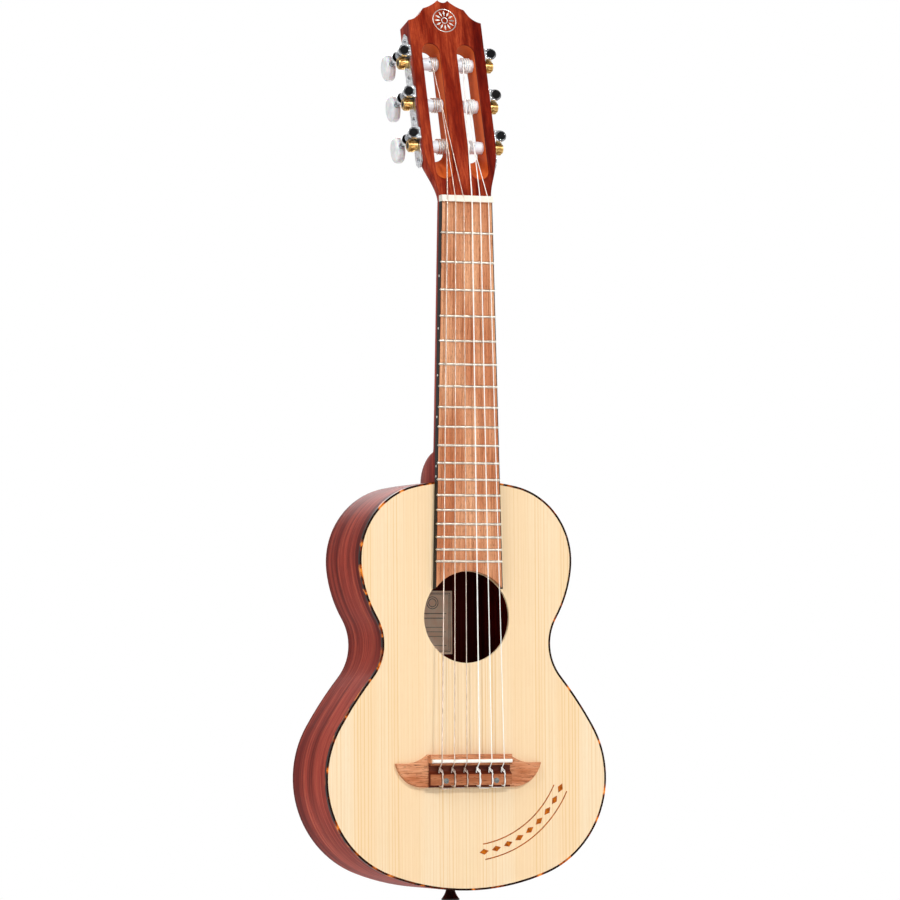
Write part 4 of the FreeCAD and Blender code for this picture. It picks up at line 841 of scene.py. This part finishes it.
def make_ornaments():
    """A burnt band on the lower treble side of the top, and a small ring inlay on the head."""
    tree = band_tree()
    empty = bpy.data.meshes.new("ornament_base")
    on_top = Matrix(((1, 0, 0, 0), (0, 0, -1, 0), (0, 1, 0, band_middle_z * mm), (0, 0, 0, 1)))
    band = grown("burnt_band", tree, {
        "Inner Radius": 80 * mm, "Outer Radius": 92 * mm, "Start": radians(-81),
        "Sweep": radians(56), "Lozenges": 9, "Length": 8 * mm, "Width": 4.6 * mm,
        "Line": 0.9 * mm, "Thickness": ornament_thickness * mm,
        "Material": burnt_spruce}, empty, on_top)
    centre = head_point(0, inlay_height, 0) * mm
    on_head = Matrix(((1, 0, 0, centre.x), (0, head_up.y, head_front.y, centre.y),
                      (0, head_up.z, head_front.z, centre.z), (0, 0, 0, 1)))
    inlay = grown("ring_inlay", tree, {
        "Inner Radius": 2.4 * mm, "Outer Radius": 9.6 * mm, "Start": 0.0, "Sweep": 2 * pi,
        "Lozenges": 13, "Length": 1.6 * mm, "Width": 5.0 * mm, "Line": 0.7 * mm,
        "Thickness": ornament_thickness * mm, "Material": silver}, empty, on_head)
    for piece, slot in ((band, "spruce"), (inlay, "chrome_plate")):
        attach(piece, "instrument")


make_ornaments()


# Small parts that only the look carries: washers, gear screws and the print of the label

ring_steps = 40
machine_x = 36.7
worm_above_post = 7.6
lug_spacing = 14.8
lug_thickness = 2.6
rim_inner = 3.95
washer_inner = 3.05
washer_outer = 4.4
washer_thickness = 0.2
gear_recess_x = 38.8
screw_radius = 2.3
screw_hole = 0.05
screw_slot = 0.7
screw_base = 0.3
screw_half_height = 0.45
screw_turn = radians(50)
screw_steps = 16
label_thickness = 0.2
label_front = body_depth - back_thickness - label_thickness
label_from_nut = 326.0
label_middle_z = nut_z - label_from_nut
label_width = 33.5
label_height = 50.0
label_frames = ((1.6, 0.5), (2.9, 0.25))
label_ring_z = 15.5
label_ring_radii = (5.0, 3.4)
label_ring_line = 0.5
row_start = 7.0
row_step = 3.6
row_shares = (0.70, 0.62, 0.0, 0.5, 0.66, 0.58, 0.0, 0.7)
title_rows = 2
title_line = 0.6
row_line = 0.35
print_height = 0.05


def ring(centre, axis, inner, outer, thickness):
    """Corners and faces of a flat ring that stands on its centre point along the axis."""
    side = axis.orthogonal().normalized()
    other = axis.cross(side)
    corners = []
    faces = []
    for step in range(ring_steps):
        turn = 2 * pi * step / ring_steps
        out = side * cos(turn) + other * sin(turn)
        for radius, rise in ((inner, 0), (outer, 0), (outer, thickness), (inner, thickness)):
            corners.append(centre + out * radius + axis * rise)
        here = 4 * step
        there = 4 * ((step + 1) % ring_steps)
        for corner in range(4):
            after = (corner + 1) % 4
            faces.append((here + corner, here + after, there + after, there + corner))
    return corners, faces


def prism(outline, axis, thickness):
    """Corners and faces of an outline raised along the axis."""
    count = len(outline)
    corners = outline + [corner + axis * thickness for corner in outline]
    faces = [tuple(range(count)), tuple(range(count, 2 * count))]
    for corner in range(count):
        after = (corner + 1) % count
        faces.append((corner, after, count + after, count + corner))
    return corners, faces


def solid_piece(name, parts, material):
    """One object from closed parts given by their corners and faces, normals outward."""
    work = bmesh.new()
    for corners, faces in parts:
        made = [work.verts.new(corner * mm) for corner in corners]
        for face in faces:
            work.faces.new([made[index] for index in face])
    bmesh.ops.recalc_face_normals(work, faces=work.faces)
    mesh = bpy.data.meshes.new(name)
    work.to_mesh(mesh)
    work.free()
    mesh.materials.append(material)
    piece = bpy.data.objects.new(name, mesh)
    bpy.context.scene.collection.objects.link(piece)
    return piece


def make_washers():
    """A black rim on the eye of each front lug and a washer between each worm and its rear lug."""
    parts = []
    for side in (-1, 1):
        for post in post_heights:
            for place, inner in ((-1, rim_inner), (1, washer_inner)):
                depth = roller_depth + place * lug_spacing / 2 - lug_thickness / 2
                centre = head_point(side * machine_x, post + worm_above_post, depth)
                parts.append(ring(centre, head_front, inner, washer_outer, washer_thickness))
    piece = solid_piece("lug_washers", parts, dull_black)
    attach(piece, "instrument")


def screw_half(centre, axis, turn, side):
    """Half of a slotted screw head, a segment of a disc beside the slot."""
    first = asin(screw_slot / 2 / screw_radius)
    outline = []
    for step in range(screw_steps + 1):
        angle = first + (pi - 2 * first) * step / screw_steps
        along_slot = cos(angle) * screw_radius
        across_slot = sin(angle) * screw_radius * side
        spot = head_up * (along_slot * cos(turn) - across_slot * sin(turn))
        spot += head_front * (along_slot * sin(turn) + across_slot * cos(turn))
        outline.append(centre + spot)
    return prism(outline, axis, screw_half_height)


def make_gear_screws():
    """Dark slotted screw in the outer face of each gear, turned another way each."""
    for index, post in enumerate(posts_of_strings):
        number = machine_count - index
        side = -1 if number > machine_count / 2 else 1
        axis = Vector((side, 0, 0))
        centre = head_point(side * gear_recess_x, post_heights[post], roller_depth)
        parts = [ring(centre, axis, screw_hole, screw_radius, screw_base)]
        for half in (-1, 1):
            parts.append(screw_half(centre + axis * screw_base, axis, screw_turn * number, half))
        piece = solid_piece("gear_screw_%d" % number, parts, dark_steel)
        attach(piece, "roller_%d" % number)


def strip(x, z, width, height):
    """Printed strip on the label about a point of its face."""
    outline = [Vector((x + a * width / 2, label_front, label_middle_z + z + b * height / 2))
               for a, b in ((-1, -1), (1, -1), (1, 1), (-1, 1))]
    return prism(outline, Vector((0, -1, 0)), print_height)


def make_label_print():
    """Print of the label: a double frame, a plain ring and ruled lines, without lettering."""
    parts = []
    for inset, line in label_frames:
        wide = label_width - 2 * inset
        high = label_height - 2 * inset
        for end in (-1, 1):
            parts.append(strip(0, end * (high - line) / 2, wide, line))
            parts.append(strip(end * (wide - line) / 2, 0, line, high - 2 * line))
    centre = Vector((0, label_front, label_middle_z + label_ring_z))
    for outer in label_ring_radii:
        parts.append(ring(centre, Vector((0, -1, 0)), outer - label_ring_line, outer,
                          print_height))
    for row, share in enumerate(row_shares):
        if share:
            parts.append(strip(0, row_start - row_step * row, share * label_width,
                               title_line if row < title_rows else row_line))
    piece = solid_piece("label_print", parts, ink)
    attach(piece, "instrument")


make_washers()
make_gear_screws()
make_label_print()


# Stage, lamps and world, in metres

floor_height = -0.62
floor_radius = 1.3
floor_corners = 96
floor_glow = 0.25
world_light = 0.27
mirror_front = 0.85
mirror_side = 0.12
side_until = 0.4
front_from = 0.8
middle = Vector((0, 0, -0.2))

# Name, place, size and share of a full white light
lamps = (("key", (0.55, -2.2, 1.15), 0.22, 0.46), ("front", (-0.3, -2.7, 0.0), 1.6, 0.2),
         ("fill", (-1.8, -0.9, 1.5), 1.4, 0.46), ("back", (0.6, 2.4, 1.2), 1.6, 0.4))


def make_floor():
    """Matt white floor that glows a little, so that it meets the white behind it."""
    turns = [2 * pi * corner / floor_corners for corner in range(floor_corners)]
    points = [(floor_radius * cos(turn), floor_radius * sin(turn), floor_height)
              for turn in turns]
    mesh = bpy.data.meshes.new("floor")
    mesh.from_pydata(points, [], [list(range(floor_corners))])
    floor = bpy.data.objects.new("floor", mesh)
    bpy.context.scene.collection.objects.link(floor)
    material, tree, surface = new_finish("matt_white_floor", {
        "Base Color": linear("#F4F4F4"), "Roughness": 0.9, "Emission Color": linear("#FFFFFF")})
    rays = add(tree, "ShaderNodeLightPath").outputs
    seen = add(tree, "ShaderNodeMath", {0: rays["Is Camera Ray"], 1: rays["Is Glossy Ray"]},
               operation="MAXIMUM")
    glow = add(tree, "ShaderNodeMath", {0: seen, 1: floor_glow}, operation="MULTIPLY")
    tree.links.new(glow.outputs[0], surface.inputs["Emission Strength"])
    mesh.materials.append(material)


def make_lamp(name, place, size, share):
    """Square lamp aimed at the object, giving the share of a full white light there."""
    data = bpy.data.lights.new(name, "AREA")
    data.size = size
    away = Vector(place) - middle
    data.energy = share * pi ** 2 * away.length_squared
    lamp = bpy.data.objects.new(name, data)
    turn = away.to_track_quat("Z", "Y").to_matrix().to_4x4()
    lamp.matrix_world = Matrix.Translation(place) @ turn
    bpy.context.scene.collection.objects.link(lamp)


def make_world():
    """White to the eye, softer as light; metal mirrors white before and behind, dark beside it."""
    world = bpy.data.worlds.new("white_studio")
    bpy.context.scene.world = world
    world.use_nodes = True
    tree = world.node_tree
    tree.nodes.clear()
    rays = add(tree, "ShaderNodeLightPath").outputs
    direction = add(tree, "ShaderNodeTexCoord").outputs["Generated"]
    size = add(tree, "ShaderNodeVectorMath", {0: direction}, operation="ABSOLUTE")
    depth = add(tree, "ShaderNodeSeparateXYZ", {0: size}).outputs["Y"]
    mirrored = add(tree, "ShaderNodeMapRange", {
        "Value": depth, "From Min": side_until, "From Max": front_from,
        "To Min": mirror_side, "To Max": mirror_front})
    light = add(tree, "ShaderNodeMix", {0: rays["Is Glossy Ray"], 2: world_light, 3: mirrored})
    seen = add(tree, "ShaderNodeMath", {0: rays["Is Camera Ray"], 1: rays["Is Transmission Ray"]},
               operation="MAXIMUM")
    strength = add(tree, "ShaderNodeMix", {0: seen, 2: light, 3: 1.0})
    white = add(tree, "ShaderNodeBackground", {"Color": linear("#FFFFFF"), "Strength": strength})
    add(tree, "ShaderNodeOutputWorld", {"Surface": white})


make_floor()
make_world()
for lamp in lamps:
    make_lamp(*lamp)
bpy.context.scene.view_settings.view_transform = "Standard"
